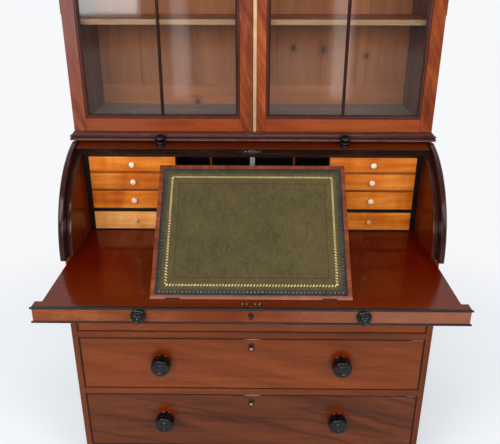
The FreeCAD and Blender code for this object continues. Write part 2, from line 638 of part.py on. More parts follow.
def escutcheon(y, z, height):
    """An oval keyhole plate on a front at y, with its keyhole."""
    width = height * ESCUTCHEON_WIDTH / ESCUTCHEON_HEIGHT
    oval = Part.Ellipse(Vector(0, y, z), height / 2, width / 2).toShape()
    oval.rotate(Vector(0, y, z), Vector(0, 0, 1), 90)
    oval.rotate(Vector(0, y, z), Vector(1, 0, 0), 90)
    plate = Part.Face(Part.Wire([oval])).extrude(Vector(0, -ESCUTCHEON_PROUD, 0))
    radius = width * KEYHOLE_RADIUS_SHARE
    hole = Part.makeCylinder(radius, ESCUTCHEON_PROUD, Vector(0, y, z + radius), Vector(0, -1, 0))
    slot = board(-radius / 2, radius / 2, y - ESCUTCHEON_PROUD, y, z - radius * 2, z + radius)
    return plate.cut(hole).cut(slot)


def slide_lock_hole():
    z = (SLIDE_TOP + RAIL_BOTTOM) / 2
    half = LOCK_WIDTH / 2
    low = z - SLIDE_LOCK_HEIGHT / 2
    return board(-half, half, SLIDE_BOARD_FRONT - LOCK_DEPTH, SLIDE_BOARD_FRONT,
                 low, low + SLIDE_LOCK_HEIGHT / 2)


def slide_lock():
    """Strike plate in the rail's top edge, the lock behind the rail, the plate round its keyhole."""
    z = (SLIDE_TOP + RAIL_BOTTOM) / 2
    strike = strike_plate().cut(staple_mortise())
    return [strike, slide_lock_hole(), escutcheon(SLIDE_FRONT, z, SLIDE_LOCK_HEIGHT)]


def tilted(solid):
    """From lying flat in the slide to the propped-up pose."""
    solid.rotate(Vector(0, SLOPE_HINGE_Y, SLIDE_TOP), Vector(1, 0, 0), SLOPE_TILT)
    return solid


def hinge_clearance():
    """Room for the hinge barrels in the slope's front edge."""
    radius = SLOPE_HINGE_RADIUS + SLOPE_HINGE_GAP
    half = SLOPE_HINGE_LENGTH / 2 + SLOPE_HINGE_GAP
    return [rod_x(x - half, x + half, SLOPE_HINGE_Y, SLIDE_TOP, radius)
            for x in (-SLOPE_HINGE_AT, SLOPE_HINGE_AT)]


def slope_frame():
    """The slope's panel with a raised crossbanded border, and the lugs for the prop's pin."""
    half = SLOPE_WIDTH / 2
    y0 = SLOPE_HINGE_Y
    y1 = SLOPE_HINGE_Y + SLOPE_LENGTH
    leather_bed = SLIDE_TOP - LEATHER_THICKNESS
    panel = board(-half, half, y0, y1, SLIDE_TOP - SLOPE_THICKNESS, leather_bed)
    bands = [board(-half, half, y0, y0 + SLOPE_BORDER, leather_bed, SLIDE_TOP),
             board(-half, half, y1 - SLOPE_BORDER, y1, leather_bed, SLIDE_TOP)]
    bands += both_sides(board(half - SLOPE_BORDER, half, y0 + SLOPE_BORDER, y1 - SLOPE_BORDER,
                              leather_bed, SLIDE_TOP))
    for barrel in hinge_clearance():
        panel = panel.cut(barrel)
        bands[0] = bands[0].cut(barrel)
    return [tilted(solid) for solid in [panel] + bands + both_sides(prop_lug())]


def prop_lug():
    x0 = PROP_SPREAD / 2 + PROP_LUG_GAP
    y = SLOPE_HINGE_Y + PROP_PIVOT_ALONG
    z = SLIDE_TOP - PROP_PIVOT_BELOW
    low = z - PROP_THICKNESS / 2
    lug = board(x0, x0 + PROP_LUG_WIDTH, y - PROP_LUG_LENGTH / 2, y + PROP_LUG_LENGTH / 2,
                low, SLIDE_TOP - SLOPE_THICKNESS)
    bore = rod_x(x0 - CUT_OVERRUN, x0 + PROP_LUG_WIDTH + CUT_OVERRUN, y, z, PROP_PIN_RADIUS + PROP_PIN_GAP)
    return lug.cut(bore)


def slope_leather():
    half = SLOPE_WIDTH / 2 - SLOPE_BORDER
    y0 = SLOPE_HINGE_Y + SLOPE_BORDER
    y1 = SLOPE_HINGE_Y + SLOPE_LENGTH - SLOPE_BORDER
    return [tilted(board(-half, half, y0, y1, SLIDE_TOP - LEATHER_THICKNESS, SLIDE_TOP))]


def slope_prop():
    """A frame of two round-ended legs, a foot bar and a pin, folded flat, then opened to twice the tilt."""
    half = PROP_SPREAD / 2
    y = SLOPE_HINGE_Y + PROP_PIVOT_ALONG
    z = SLIDE_TOP - PROP_PIVOT_BELOW
    low = z - PROP_THICKNESS / 2
    leg = board(half - PROP_LEG_WIDTH, half, y, y + PROP_LENGTH, low, low + PROP_THICKNESS)
    leg = leg.fuse(rod_x(half - PROP_LEG_WIDTH, half, y, z, PROP_THICKNESS / 2))
    pin_end = half + PROP_LUG_GAP + PROP_LUG_WIDTH
    pin = rod_x(-pin_end, pin_end, y, z, PROP_PIN_RADIUS)
    foot = rod_x(-half, half, y + PROP_LENGTH, z, PROP_THICKNESS / 2)
    prop = foot.fuse([leg, mirrored(leg), pin])
    prop.rotate(Vector(0, y, z), Vector(1, 0, 0), -2 * SLOPE_TILT)
    return [tilted(prop)]


def slope_hinges():
    """Barrels along the slope's turning line, each with a leaf let into the slide."""
    hinges = []
    for x in (-SLOPE_HINGE_AT, SLOPE_HINGE_AT):
        x0 = x - SLOPE_HINGE_LENGTH / 2
        x1 = x + SLOPE_HINGE_LENGTH / 2
        barrel = rod_x(x0, x1, SLOPE_HINGE_Y, SLIDE_TOP, SLOPE_HINGE_RADIUS)
        leaf = board(x0, x1, RECESS_FRONT - SLOPE_HINGE_LEAF, RECESS_FRONT,
                     SLIDE_TOP - SLOPE_HINGE_LEAF_DROP, SLIDE_TOP)
        hinges.append(barrel.fuse(leaf))
    return hinges


def row_levels(number):
    low, high = FITMENT_ROW_SHARES[number]
    return SLIDE_TOP + FITMENT_HEIGHT * low, SLIDE_TOP + FITMENT_HEIGHT * high


def row_inner(number):
    """The top row reaches further in, over the bay that the slope swings into."""
    return FITMENT_BANK_INNER if number == 0 else BAY_HALF + FITMENT_BOARD


def fitment_case():
    """Stiles, boards between the rows, inner walls and back of the two banks of drawers."""
    y0 = FITMENT_SETBACK
    y1 = FITMENT_BACK_Y - FITMENT_BACK
    pieces = both_sides(board(BANK_OUTER, LINING_INNER, y0, y1, FITMENT_BOTTOM, FITMENT_TOP))
    bridge_low = row_levels(1)[1]
    bridge_high = row_levels(0)[0]
    pieces.append(board(-BANK_OUTER, BANK_OUTER, y0, y1, bridge_low, bridge_high))
    pieces.append(board(-BANK_OUTER, BANK_OUTER, y0, y1, row_levels(0)[1], FITMENT_TOP))
    floors = [(FITMENT_BOTTOM, row_levels(3)[0]), (row_levels(3)[1], row_levels(2)[0]),
              (row_levels(2)[1], row_levels(1)[0])]
    inner = BAY_HALF + FITMENT_BOARD
    for low, high in floors:
        pieces += both_sides(board(inner, BANK_OUTER, y0, y1, low, high))
    pieces += both_sides(board(BAY_HALF, inner, y0, y1, FITMENT_BOTTOM, bridge_low))
    pieces += both_sides(board(FITMENT_BANK_INNER - FITMENT_BOARD, FITMENT_BANK_INNER, y0, y1,
                               bridge_high, row_levels(0)[1]))
    pieces += both_sides(board(BAY_HALF, LINING_INNER, y1, FITMENT_BACK_Y, FITMENT_BOTTOM, FITMENT_TOP))
    pieces.append(board(-BAY_HALF, BAY_HALF, y1, FITMENT_BACK_Y,
                        SLIDE_TOP + FITMENT_HEIGHT * BAY_BACK_SHARE, FITMENT_TOP))
    return pieces


def pigeonhole_dividers():
    y0 = FITMENT_SETBACK
    y1 = FITMENT_BACK_Y - FITMENT_BACK
    low = row_levels(0)[0]
    high = row_levels(0)[1]
    half = FITMENT_DIVIDER / 2
    pieces = both_sides(board(FITMENT_DIVIDER_AT - half, FITMENT_DIVIDER_AT + half, y0, y1, low, high))
    pieces.append(board(-FITMENT_POST / 2, FITMENT_POST / 2, y0, y1, low, high))
    return pieces


def small_drawer(number):
    """One right-hand small drawer: front, two sides, back and bottom, and its knob's place."""
    low, high = row_levels(number)
    x0 = row_inner(number) + SMALL_GAP
    x1 = BANK_OUTER - SMALL_GAP
    z0 = low + SMALL_GAP
    z1 = high - SMALL_GAP
    y0 = FITMENT_SETBACK
    back = FITMENT_BACK_Y - FITMENT_BACK - SMALL_GAP
    box_top = z1 - SMALL_SIDE
    front = board(x0, x1, y0, y0 + SMALL_FRONT, z0, z1)
    base = Vector(BONE_KNOB_AT, y0, (z0 + z1) / 2)
    front = front.cut(peg_hole(base, Vector(0, -1, 0), BONE_KNOB_RADIUS, BONE_KNOB_SHANK))
    y1 = y0 + SMALL_FRONT
    solids = [front, board(x0, x0 + SMALL_SIDE, y1, back, z0, box_top),
              board(x1 - SMALL_SIDE, x1, y1, back, z0, box_top),
              board(x0 + SMALL_SIDE, x1 - SMALL_SIDE, back - SMALL_SIDE, back, z0, box_top),
              board(x0 + SMALL_SIDE, x1 - SMALL_SIDE, y1, back - SMALL_SIDE, z0, z0 + SMALL_BOTTOM)]
    return solids, knob(base, Vector(0, -1, 0), BONE_KNOB_RADIUS, BONE_KNOB_LENGTH, BONE_KNOB_SHANK,
                        BONE_KNOB_SHARES)


def save_small_drawers():
    for number in range(len(FITMENT_ROW_SHARES)):
        solids, bone = small_drawer(number)
        save(f"small_drawer_right_{number + 1}", solids)
        save(f"bone_knob_right_{number + 1}", [bone])
        save(f"small_drawer_left_{number + 1}", [mirrored(solid) for solid in solids])
        save(f"bone_knob_left_{number + 1}", [mirrored(bone)])


def long_drawer_levels(number):
    low, high = DRAWER_OPENINGS[number]
    return low + RUNNING_GAP, high - DRAWER_TOP_GAP


def drawer_knob_places(number):
    low, high = long_drawer_levels(number)
    z = low + (high - low) * DRAWER_KNOB_RISE_SHARE
    return [(Vector(side * DRAWER_KNOB_SPACING / 2, 0, z), Vector(0, -1, 0)) for side in (-1, 1)]


def long_drawer(number):
    """Front with its cock bead, dovetailed sides, back and bottom."""
    low, high = long_drawer_levels(number)
    half = INNER_HALF - DRAWER_SIDE_GAP
    back = BACK_INNER - DRAWER_BACK_GAP
    front = board(-half, half, 0, DRAWER_FRONT, low, high).cut(drawer_lock_case(number))
    for base, outward in drawer_knob_places(number):
        front = front.cut(peg_hole(base, outward, DRAWER_KNOB_RADIUS, DRAWER_KNOB_SHANK))
    beads = both_sides(board(half - BEAD_WIDTH, half, -BEAD_PROUD, 0, low, high))
    inner = half - BEAD_WIDTH
    beads.append(board(-inner, inner, -BEAD_PROUD, 0, low, low + BEAD_WIDTH))
    beads.append(board(-inner, inner, -BEAD_PROUD, 0, high - BEAD_WIDTH, high))
    side_top = high - DRAWER_SIDE_DROP
    box = both_sides(board(half - DRAWER_SIDE, half, DRAWER_FRONT, back, low, side_top))
    inside = half - DRAWER_SIDE
    box.append(board(-inside, inside, back - DRAWER_SIDE, back, low, side_top))
    box.append(board(-inside, inside, DRAWER_FRONT, back - DRAWER_SIDE, low, low + DRAWER_BOTTOM))
    return [front] + beads + box


def drawer_lock_case(number):
    """A lock let into the back of the drawer front, under its top edge."""
    high = long_drawer_levels(number)[1] - LOCK_DROP
    half = LOCK_WIDTH / 2
    return board(-half, half, DRAWER_FRONT - LOCK_DEPTH, DRAWER_FRONT, high - LOCK_HEIGHT, high)


def drawer_lock(number):
    high = long_drawer_levels(number)[1]
    return [drawer_lock_case(number), escutcheon(0, high - KEYHOLE_DROP, ESCUTCHEON_HEIGHT)]


def drawer_knobs(number):
    return [knob(base, outward, DRAWER_KNOB_RADIUS, DRAWER_KNOB_LENGTH, DRAWER_KNOB_SHANK,
                 DRAWER_KNOB_SHARES)
            for base, outward in drawer_knob_places(number)]


def save_long_drawers():
    for number in range(len(LONG_DRAWER_HEIGHTS)):
        save(f"long_drawer_{number + 1}", long_drawer(number))
        save(f"long_drawer_knobs_{number + 1}", drawer_knobs(number))
        save(f"long_drawer_lock_{number + 1}", drawer_lock(number))


def bookcase_carcass():
    inner = HALF_WIDTH - BOOKCASE_BOARD
    back = BACK_INNER
    pieces = [board(-HALF_WIDTH, HALF_WIDTH, BOOKCASE_FRONT, back, TOP_BOARD_TOP, WAIST_TOP)]
    pieces += both_sides(board(inner, HALF_WIDTH, CASE_FRONT, back, WAIST_TOP, BOOKCASE_TOP))
    pieces.append(board(-inner, inner, CASE_FRONT, back, WAIST_TOP, WAIST_TOP + BOOKCASE_FLOOR))
    pieces.append(board(-inner, inner, CASE_FRONT, back, BOOKCASE_TOP - BOOKCASE_BOARD, BOOKCASE_TOP))
    return pieces


def bookcase_back():
    """A rail lying across the foot and upright boards above it."""
    rail_top = TOP_BOARD_TOP + BACK_RAIL_HEIGHT
    pieces = [board(-HALF_WIDTH, HALF_WIDTH, BACK_INNER, CARCASS_DEPTH, TOP_BOARD_TOP, rail_top)]
    pitch = CARCASS_WIDTH / BACK_BOARDS
    for number in range(BACK_BOARDS):
        x = pitch * number - HALF_WIDTH
        end = x + pitch - (BACK_BOARD_GAP if number < BACK_BOARDS - 1 else 0)
        pieces.append(board(x, end, BACK_INNER, CARCASS_DEPTH, rail_top, BOOKCASE_TOP))
    return pieces


def bookcase_shelves():
    inner = HALF_WIDTH - BOOKCASE_BOARD
    shelves = []
    for share in SHELF_RISE_SHARES:
        z = WAIST_TOP + (BOOKCASE_TOP - WAIST_TOP) * share
        shelves.append(board(-inner, inner, CASE_FRONT + SHELF_SETBACK, BACK_INNER, z - SHELF_THICKNESS, z))
    return shelves


def cornice():
    """A fascia and a hollowed crown round the front and ends, under a dust board."""
    fascia = CORNICE_PROJECTION * CORNICE_STEP_SHARE
    low = BOOKCASE_TOP
    hollow = low + CORNICE_HEIGHT * CORNICE_FASCIA_SHARE
    crown = low + CORNICE_HEIGHT * (1 - CORNICE_TOP_SHARE)
    top = low + CORNICE_HEIGHT
    profile = [(0, low), (fascia, low), (fascia, hollow)]
    for step in range(CORNICE_FACETS):
        turn = math.radians(90 * (step + 1) / CORNICE_FACETS)
        profile.append((fascia + (CORNICE_PROJECTION - fascia) * (1 - math.cos(turn)),
                        hollow + (crown - hollow) * math.sin(turn)))
    profile += [(CORNICE_PROJECTION, top), (0, top)]
    pieces = mitred_frame(profile, HALF_WIDTH, BOOKCASE_FRONT, CARCASS_DEPTH, CORNICE_PROJECTION)
    pieces.append(board(-HALF_WIDTH, HALF_WIDTH, BOOKCASE_FRONT, CARCASS_DEPTH, top - BOOKCASE_BOARD, top))
    return pieces


def door_frame():
    """The right-hand door: two stiles, two rails and an upright glazing bar."""
    x0 = DOOR_GAP / 2
    x1 = HALF_WIDTH
    y0 = BOOKCASE_FRONT
    y1 = BOOKCASE_FRONT + DOOR_THICKNESS
    middle = (x0 + x1) / 2
    low = DOOR_BOTTOM + DOOR_BOTTOM_RAIL
    high = DOOR_TOP - DOOR_TOP_RAIL
    return [board(x0, x0 + DOOR_STILE, y0, y1, DOOR_BOTTOM, DOOR_TOP),
            board(x1 - DOOR_STILE, x1, y0, y1, DOOR_BOTTOM, DOOR_TOP),
            board(x0 + DOOR_STILE, x1 - DOOR_STILE, y0, y1, DOOR_BOTTOM, low),
            board(x0 + DOOR_STILE, x1 - DOOR_STILE, y0, y1, high, DOOR_TOP),
            board(middle - GLAZING_BAR / 2, middle + GLAZING_BAR / 2, y0, y1, low, high)]


def door_glass():
    x0 = DOOR_GAP / 2
    middle = (x0 + HALF_WIDTH) / 2
    y0 = BOOKCASE_FRONT + (DOOR_THICKNESS - GLASS_THICKNESS) / 2
    low = DOOR_BOTTOM + DOOR_BOTTOM_RAIL
    high = DOOR_TOP - DOOR_TOP_RAIL
    half = GLAZING_BAR / 2
    panes = ((x0 + DOOR_STILE, middle - half), (middle + half, HALF_WIDTH - DOOR_STILE))
    return [board(a, b, y0, y0 + GLASS_THICKNESS, low, high) for a, b in panes]


def door_astragal():
    """A brass bead along the right-hand door's meeting edge."""
    x0 = DOOR_GAP / 2
    return [board(x0, x0 + ASTRAGAL_WIDTH, BOOKCASE_FRONT - ASTRAGAL_PROUD, BOOKCASE_FRONT,
                  DOOR_BOTTOM, DOOR_TOP)]


def door_hinge(share):
    z = DOOR_BOTTOM + (DOOR_TOP - DOOR_BOTTOM) * share - DOOR_HINGE_LENGTH / 2
    barrel = Part.makeCylinder(DOOR_HINGE_RADIUS, DOOR_HINGE_LENGTH, Vector(DOOR_AXIS_X, DOOR_AXIS_Y, z))
    leaf = board(DOOR_AXIS_X - DOOR_HINGE_LEAF_WIDTH, DOOR_AXIS_X, CASE_FRONT - DOOR_HINGE_LEAF, CASE_FRONT,
                 z, z + DOOR_HINGE_LENGTH)
    return barrel.fuse(leaf)


def door_hinges():
    hinges = []
    for share in DOOR_HINGE_SHARES:
        hinges += both_sides(door_hinge(share))
    return hinges


def door_lock():
    """A small box lock on the back of the right-hand meeting stile."""
    z = (DOOR_BOTTOM + DOOR_TOP) / 2
    x0 = DOOR_GAP / 2 + (DOOR_STILE - DOOR_LOCK_WIDTH) / 2
    y0 = BOOKCASE_FRONT + DOOR_THICKNESS
    case = board(x0, x0 + DOOR_LOCK_WIDTH, y0, y0 + DOOR_LOCK_DEPTH,
                 z - DOOR_LOCK_HEIGHT / 2, z + DOOR_LOCK_HEIGHT / 2)
    plate = escutcheon(BOOKCASE_FRONT, z, ESCUTCHEON_HEIGHT)
    plate.translate(Vector(DOOR_GAP / 2 + DOOR_STILE / 2, 0, 0))
    return [case, plate]


def save_all():
    os.makedirs("parts", exist_ok=True)
    save("bun_feet", bun_feet())
    save("plinth", plinth())
    save("carcass_side_right", right_side())
    save("carcass_side_left", [mirrored(solid) for solid in right_side()])
    save("side_linings", linings())
    save("quadrant_reeds", reeds())
    save("carcass_back", carcass_back())
    save("drawer_rails", drawer_rails())
    save("bureau_top", bureau_top())
    save("waist_moulding", waist_moulding())
    save("cylinder_lid", cylinder_lid())
    save("lid_knobs", lid_knobs())
    save("lid_link_plate", link_plate())
    save("slide_board", slide_board())
    save("slide_front", slide_front())
    save("slide_knobs", slide_knobs())
    save("slide_lock", slide_lock())
    save("slope_frame", slope_frame())
    save("slope_leather", slope_leather())
    save("slope_prop", slope_prop())
    save("slope_hinges", slope_hinges())
    save("fitment_case", fitment_case())
    save("pigeonhole_dividers", pigeonhole_dividers())
    save_small_drawers()
    save_long_drawers()
    save("bookcase_carcass", bookcase_carcass())
    save("bookcase_back", bookcase_back())
    save("bookcase_shelves", bookcase_shelves())
    save("cornice", cornice())
    save("door_right_frame", door_frame())
    save("door_left_frame", [mirrored(solid) for solid in door_frame()])
    save("door_right_glass", door_glass())
    save("door_left_glass", [mirrored(solid) for solid in door_glass()])
    save("door_astragal", door_astragal())
    save("door_hinges", door_hinges())
    save("door_lock", door_lock())


save_all()
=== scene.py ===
import json
import math
import random
import zlib

import bmesh
import bpy
from mathutils import Euler, Matrix, Vector


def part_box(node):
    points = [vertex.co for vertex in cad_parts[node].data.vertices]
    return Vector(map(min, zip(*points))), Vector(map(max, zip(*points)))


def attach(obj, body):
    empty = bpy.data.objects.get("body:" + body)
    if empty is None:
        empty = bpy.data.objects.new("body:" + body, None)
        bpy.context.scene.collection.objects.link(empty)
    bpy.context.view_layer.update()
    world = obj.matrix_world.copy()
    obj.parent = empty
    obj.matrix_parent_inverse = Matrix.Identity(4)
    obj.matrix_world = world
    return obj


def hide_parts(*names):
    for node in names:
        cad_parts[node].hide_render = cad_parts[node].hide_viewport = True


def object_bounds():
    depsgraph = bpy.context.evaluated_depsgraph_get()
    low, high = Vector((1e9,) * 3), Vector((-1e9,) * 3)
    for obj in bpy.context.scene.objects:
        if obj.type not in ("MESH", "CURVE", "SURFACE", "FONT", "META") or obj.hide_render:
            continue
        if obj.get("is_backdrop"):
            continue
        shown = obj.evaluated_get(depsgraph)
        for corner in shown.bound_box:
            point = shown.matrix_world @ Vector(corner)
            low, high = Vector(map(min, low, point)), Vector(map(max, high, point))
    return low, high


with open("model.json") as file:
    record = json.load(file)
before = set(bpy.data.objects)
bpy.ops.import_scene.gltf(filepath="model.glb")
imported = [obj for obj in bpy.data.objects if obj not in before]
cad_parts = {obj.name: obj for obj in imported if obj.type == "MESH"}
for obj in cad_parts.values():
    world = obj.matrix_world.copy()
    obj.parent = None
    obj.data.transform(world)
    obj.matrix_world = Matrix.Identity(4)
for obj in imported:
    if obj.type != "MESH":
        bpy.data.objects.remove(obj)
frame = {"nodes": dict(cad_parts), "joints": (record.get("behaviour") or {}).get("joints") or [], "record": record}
cadLow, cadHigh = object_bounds()
nodes = frame["nodes"]
joints = {joint["name"]: joint for joint in frame["joints"]}
bodyOf = {node: body for body, members in frame["record"]["behaviour"]["bodies"].items() for node in members}
scene = bpy.context.scene
scene.view_settings.view_transform = "Standard"
print("frame loaded:", len(nodes), "nodes")


# node-tree shorthand
def newMaterial(name):
    material = bpy.data.materials.new(name)
    material.use_nodes = True
    return material, material.node_tree, material.node_tree.nodes["Principled BSDF"]


def feed(tree, socket, value):
    if isinstance(value, bpy.types.NodeSocket):
        tree.links.new(value, socket)
    else:
        socket.default_value = value


def addNode(tree, kind, inputs=None, **settings):
    node = tree.nodes.new(kind)
    for key, value in settings.items():
        setattr(node, key, value)
    for key, value in (inputs or {}).items():
        feed(tree, node.inputs[key], value)
    return node


def settle(tree, shader, **values):
    for key, value in values.items():
        feed(tree, shader.inputs[key.replace("_", " ")], value)


def objectPlace(tree):
    return addNode(tree, "ShaderNodeTexCoord").outputs["Object"]


def attribute(tree, name, output="Fac"):
    return addNode(tree, "ShaderNodeAttribute", attribute_name=name).outputs[output]


def noise(tree, vector, scale, detail=3.0, rough=0.55, warp=0.0):
    inputs = {"Vector": vector, "Scale": scale, "Detail": detail, "Roughness": rough, "Distortion": warp}
    return addNode(tree, "ShaderNodeTexNoise", inputs).outputs["Fac"]


def vectors(tree, operation, first, second, output=0):
    node = addNode(tree, "ShaderNodeVectorMath", {0: first, 1: second}, operation=operation)
    return node.outputs[output]


def stretch(tree, vector, factors):
    return vectors(tree, "MULTIPLY", vector, factors)


def sums(tree, operation, first, second):
    return addNode(tree, "ShaderNodeMath", {0: first, 1: second}, operation=operation).outputs[0]


def offFrom(tree, value, middle):
    away = sums(tree, "SUBTRACT", value, middle)
    return addNode(tree, "ShaderNodeMath", {0: away}, operation="ABSOLUTE").outputs[0]


def between(tree, value, low, high, toLow, toHigh):
    inputs = {"Value": value, "From Min": low, "From Max": high, "To Min": toLow, "To Max": toHigh}
    return addNode(tree, "ShaderNodeMapRange", inputs).outputs[0]


def ramp(tree, value, stops):
    node = addNode(tree, "ShaderNodeValToRGB", {"Fac": value})
    points = node.color_ramp.elements
    while len(points) < len(stops):
        points.new(0.5)
    for point, (place, colour) in zip(points, stops):
        point.position = place
        point.color = (*colour, 1)
    return node.outputs["Color"]


def mixed(tree, share, first, second, blend="MIX"):
    node = addNode(tree, "ShaderNodeMix", data_type="RGBA", blend_type=blend)
    for number, value in ((0, share), (6, first), (7, second)):
        feed(tree, node.inputs[number], (*value, 1) if isinstance(value, tuple) else value)
    return node.outputs[2]


def bump(tree, height, strength, distance):
    inputs = {"Height": height, "Strength": strength, "Distance": distance}
    return addNode(tree, "ShaderNodeBump", inputs).outputs[0]


def show(tree, share, first, second):
    both = addNode(tree, "ShaderNodeMixShader", {0: share, 1: first.outputs[0], 2: second.outputs[0]})
    settle(tree, tree.nodes["Material Output"], Surface=both.outputs[0])


# wood: every board carries its own grain direction, tone and edge mark
woodRules = {
    "driftDetail": 2.0, "streakNoise": (6.0, 0.62), "stripeNoise": (3.0, 0.5, 0.3), "poreNoise": (2.0, 0.5),
    "veinNoise": (1.6, 0.45, 0.4), "poreBand": (0.36, 0.5), "raggedBand": (0.2, 0.8), "roughBand": (0.3, 0.7),
    "rougher": 0.07, "smoother": 0.05, "bump": 0.25}


def wood(name, look):
    material, tree, shader = newMaterial(name)
    grain = attribute(tree, "grain", "Vector")
    waves = {"Vector": grain, "Scale": look["drift"], "Detail": woodRules["driftDetail"]}
    drift = addNode(tree, "ShaderNodeTexNoise", waves).outputs["Color"]
    offset = vectors(tree, "ADD", drift, (-0.5,) * 3)
    bent = addNode(tree, "ShaderNodeVectorMath", {0: offset, 1: (look["wander"],) * 3, 2: grain},
                   operation="MULTIPLY_ADD").outputs[0]
    streaks = noise(tree, stretch(tree, bent, look["run"]), 1.0, *woodRules["streakNoise"])
    turned = {"Vector": bent, "Rotation": (0, 0, math.radians(look["slant"]))}
    slanted = addNode(tree, "ShaderNodeMapping", turned).outputs[0]
    stripes = noise(tree, stretch(tree, slanted, look["figure"]), 1.0, *woodRules["stripeNoise"])
    pores = noise(tree, stretch(tree, bent, look["pores"]), 1.0, *woodRules["poreNoise"])
    share = sums(tree, "MULTIPLY", stripes, look["stripeShare"])
    level = sums(tree, "ADD", share, sums(tree, "MULTIPLY", streaks, 1 - look["stripeShare"]))
    colour = ramp(tree, level, list(zip(look["stops"], look["shades"])))
    if "veins" in look:
        run, width, share, veinColour = look["veins"]
        contour = noise(tree, stretch(tree, slanted, run), 1.0, *woodRules["veinNoise"])
        vein = between(tree, offFrom(tree, contour, 0.5), 0.0, width, share, 0.0)
        colour = mixed(tree, vein, colour, veinColour)
    poreMask = between(tree, pores, *woodRules["poreBand"], look["poreDepth"], 0.0)
    colour = mixed(tree, poreMask, colour, look["shades"][0])
    tone = between(tree, attribute(tree, "tone"), 0.0, 1.0, *look["tones"])
    grey = addNode(tree, "ShaderNodeCombineColor", {"Red": tone, "Green": tone, "Blue": tone}).outputs[0]
    colour = mixed(tree, 1.0, colour, grey, "MULTIPLY")
    rim = sums(tree, "MULTIPLY", attribute(tree, "rim"), look["rimShare"])
    colour = mixed(tree, rim, colour, look["rimColour"])
    place = objectPlace(tree)
    for mark in look.get("marks", ()):
        centre = tuple(value * size for value, size in zip(mark["at"], mark["scale"]))
        flat = stretch(tree, place, mark["scale"])
        away = vectors(tree, "DISTANCE", flat, centre, "Value")
        uneven = between(tree, streaks, *woodRules["raggedBand"], -mark["ragged"], mark["ragged"])
        share = between(tree, sums(tree, "ADD", away, uneven), *mark["reach"], mark["share"], 0.0)
        colour = mixed(tree, share, colour, mark["colour"])
    rough = between(tree, streaks, *woodRules["roughBand"], look["rough"] + woodRules["rougher"],
                    look["rough"] - woodRules["smoother"])
    normal = bump(tree, sums(tree, "ADD", pores, streaks), woodRules["bump"], look["relief"])
    settle(tree, shader, Base_Color=colour, Roughness=rough, Normal=normal, Specular_IOR_Level=look["shine"],
           Coat_Weight=look["coat"], Coat_Roughness=look["coatRough"])
    return material


# a mark on the wood: its middle, how far it reaches, how ragged its edge is, how much of its colour shows
def spot(at, reach, ragged, share, colour, scale=(1, 0, 1)):
    return {"at": at, "reach": reach, "ragged": ragged, "share": share, "colour": colour, "scale": scale}


# knots in the pine: a stain round a dark heart, in shares of the knot's size
knotWork = {
    "places": ((0.137, 1.309, 0.008), (0.240, 1.304, 0.010), (0.386, 1.285, 0.008), (-0.196, 1.125, 0.009)),
    "squash": (1, 0, 0.72),
    "rings": ((0.6, 2.6, 0.005, 0.6, (0.17, 0.05, 0.018)), (0.2, 1.15, 0.004, 0.85, (0.05, 0.026, 0.02)))}
knots = []
for x, z, size in knotWork["places"]:
    for full, end, ragged, share, colour in knotWork["rings"]:
        knots.append(spot((x, 0, z), (size * full, size * end), ragged, share, colour, knotWork["squash"]))

# long drawers: painted shade round the knobs, in shares of their radius, and pale wear on the beads
drawerShadeAndWear = {
    # first ring: a painted shadow round the knob; second: a painted deep-red patch above it, where the knob hides
    # the polish's reflection
    "rings": ((1.0, 0.95, 1.6, 0.002, 0.5, (0.05, 0.013, 0.007)),
              (1.5, 0.8, 1.2, 0.003, 0.9, (0.165, 0.017, 0.001))),
    "full": 0.6, "end": 1.4, "ragged": 0.012, "squash": (1, 0, 3), "colour": (0.36, 0.27, 0.23)}
paintedKnobShade, wornEdges = [], []
for number in range(1, 4):
    low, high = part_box(f"long_drawer_knobs_{number}")
    radius = (high[2] - low[2]) / 2
    for x in (low[0] + radius, high[0] - radius):
        for rise, full, end, ragged, share, colour in drawerShadeAndWear["rings"]:
            place = (x, 0, low[2] + radius * rise)
            paintedKnobShade.append(spot(place, (radius * full, radius * end), ragged, share, colour))
    low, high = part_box(f"long_drawer_{number}")
    for x, size, share in ((0.004, 0.020, 0.7), (high[0] - 0.02, 0.014, 0.4)):
        reach = (size * drawerShadeAndWear["full"], size * drawerShadeAndWear["end"])
        wornEdges.append(spot((x, 0, high[2]), reach, drawerShadeAndWear["ragged"], share, drawerShadeAndWear["colour"],
                              drawerShadeAndWear["squash"]))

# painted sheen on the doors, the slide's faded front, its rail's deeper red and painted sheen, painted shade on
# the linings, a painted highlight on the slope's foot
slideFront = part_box("slide_front")[0][1]
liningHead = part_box("side_linings")[1][2]
slopeFoot = joints["slope_tilt"]["pos_m"][1:]
# painted sheen: the window's reflection on the polish, laid on the left door's outer stile and on a rail of that
# door
paintedSheenStile = [spot((-0.56, 0, 1.52), (0.08, 0.30), 0.02, 0.6, (0.205, 0.10, 0.098), (1, 0, 0.6))]
paintedSheenRail = [spot((-0.42, 0, 1.075), (0.03, 0.16), 0.02, 0.28, (0.27, 0.105, 0.072))]
fadedFront = [spot((0, slideFront, 0), (0.02, 0.24), 0.05, 0.5, (0.165, 0.030, 0.004), (0, 1, 0))]
# the rail's left mark is a deeper red; its right mark is a painted sheen, light reflected in the polish
deepRedAndPaintedSheenRail = [spot((-0.085, 0, 0), (0.05, 0.22), 0.05, 0.75, (0.13, 0.018, 0.001), (1, 0, 0)),
            spot((0.42, 0, 0), (0.1, 0.36), 0.04, 0.5, (0.29, 0.118, 0.074), (1, 0, 0))]
shadedHead = [spot((0, 0, liningHead), (0.02, 0.09), 0.01, 0.75, (0.012, 0.003, 0.002), (0, 0, 1))]
# a painted highlight: light caught along the rounded foot edge of the slope's border
paintedHighlightFoot = [spot((0, *slopeFoot), (0.002, 0.012), 0.002, 0.42, (0.42, 0.24, 0.18), (0, 1, 1))]

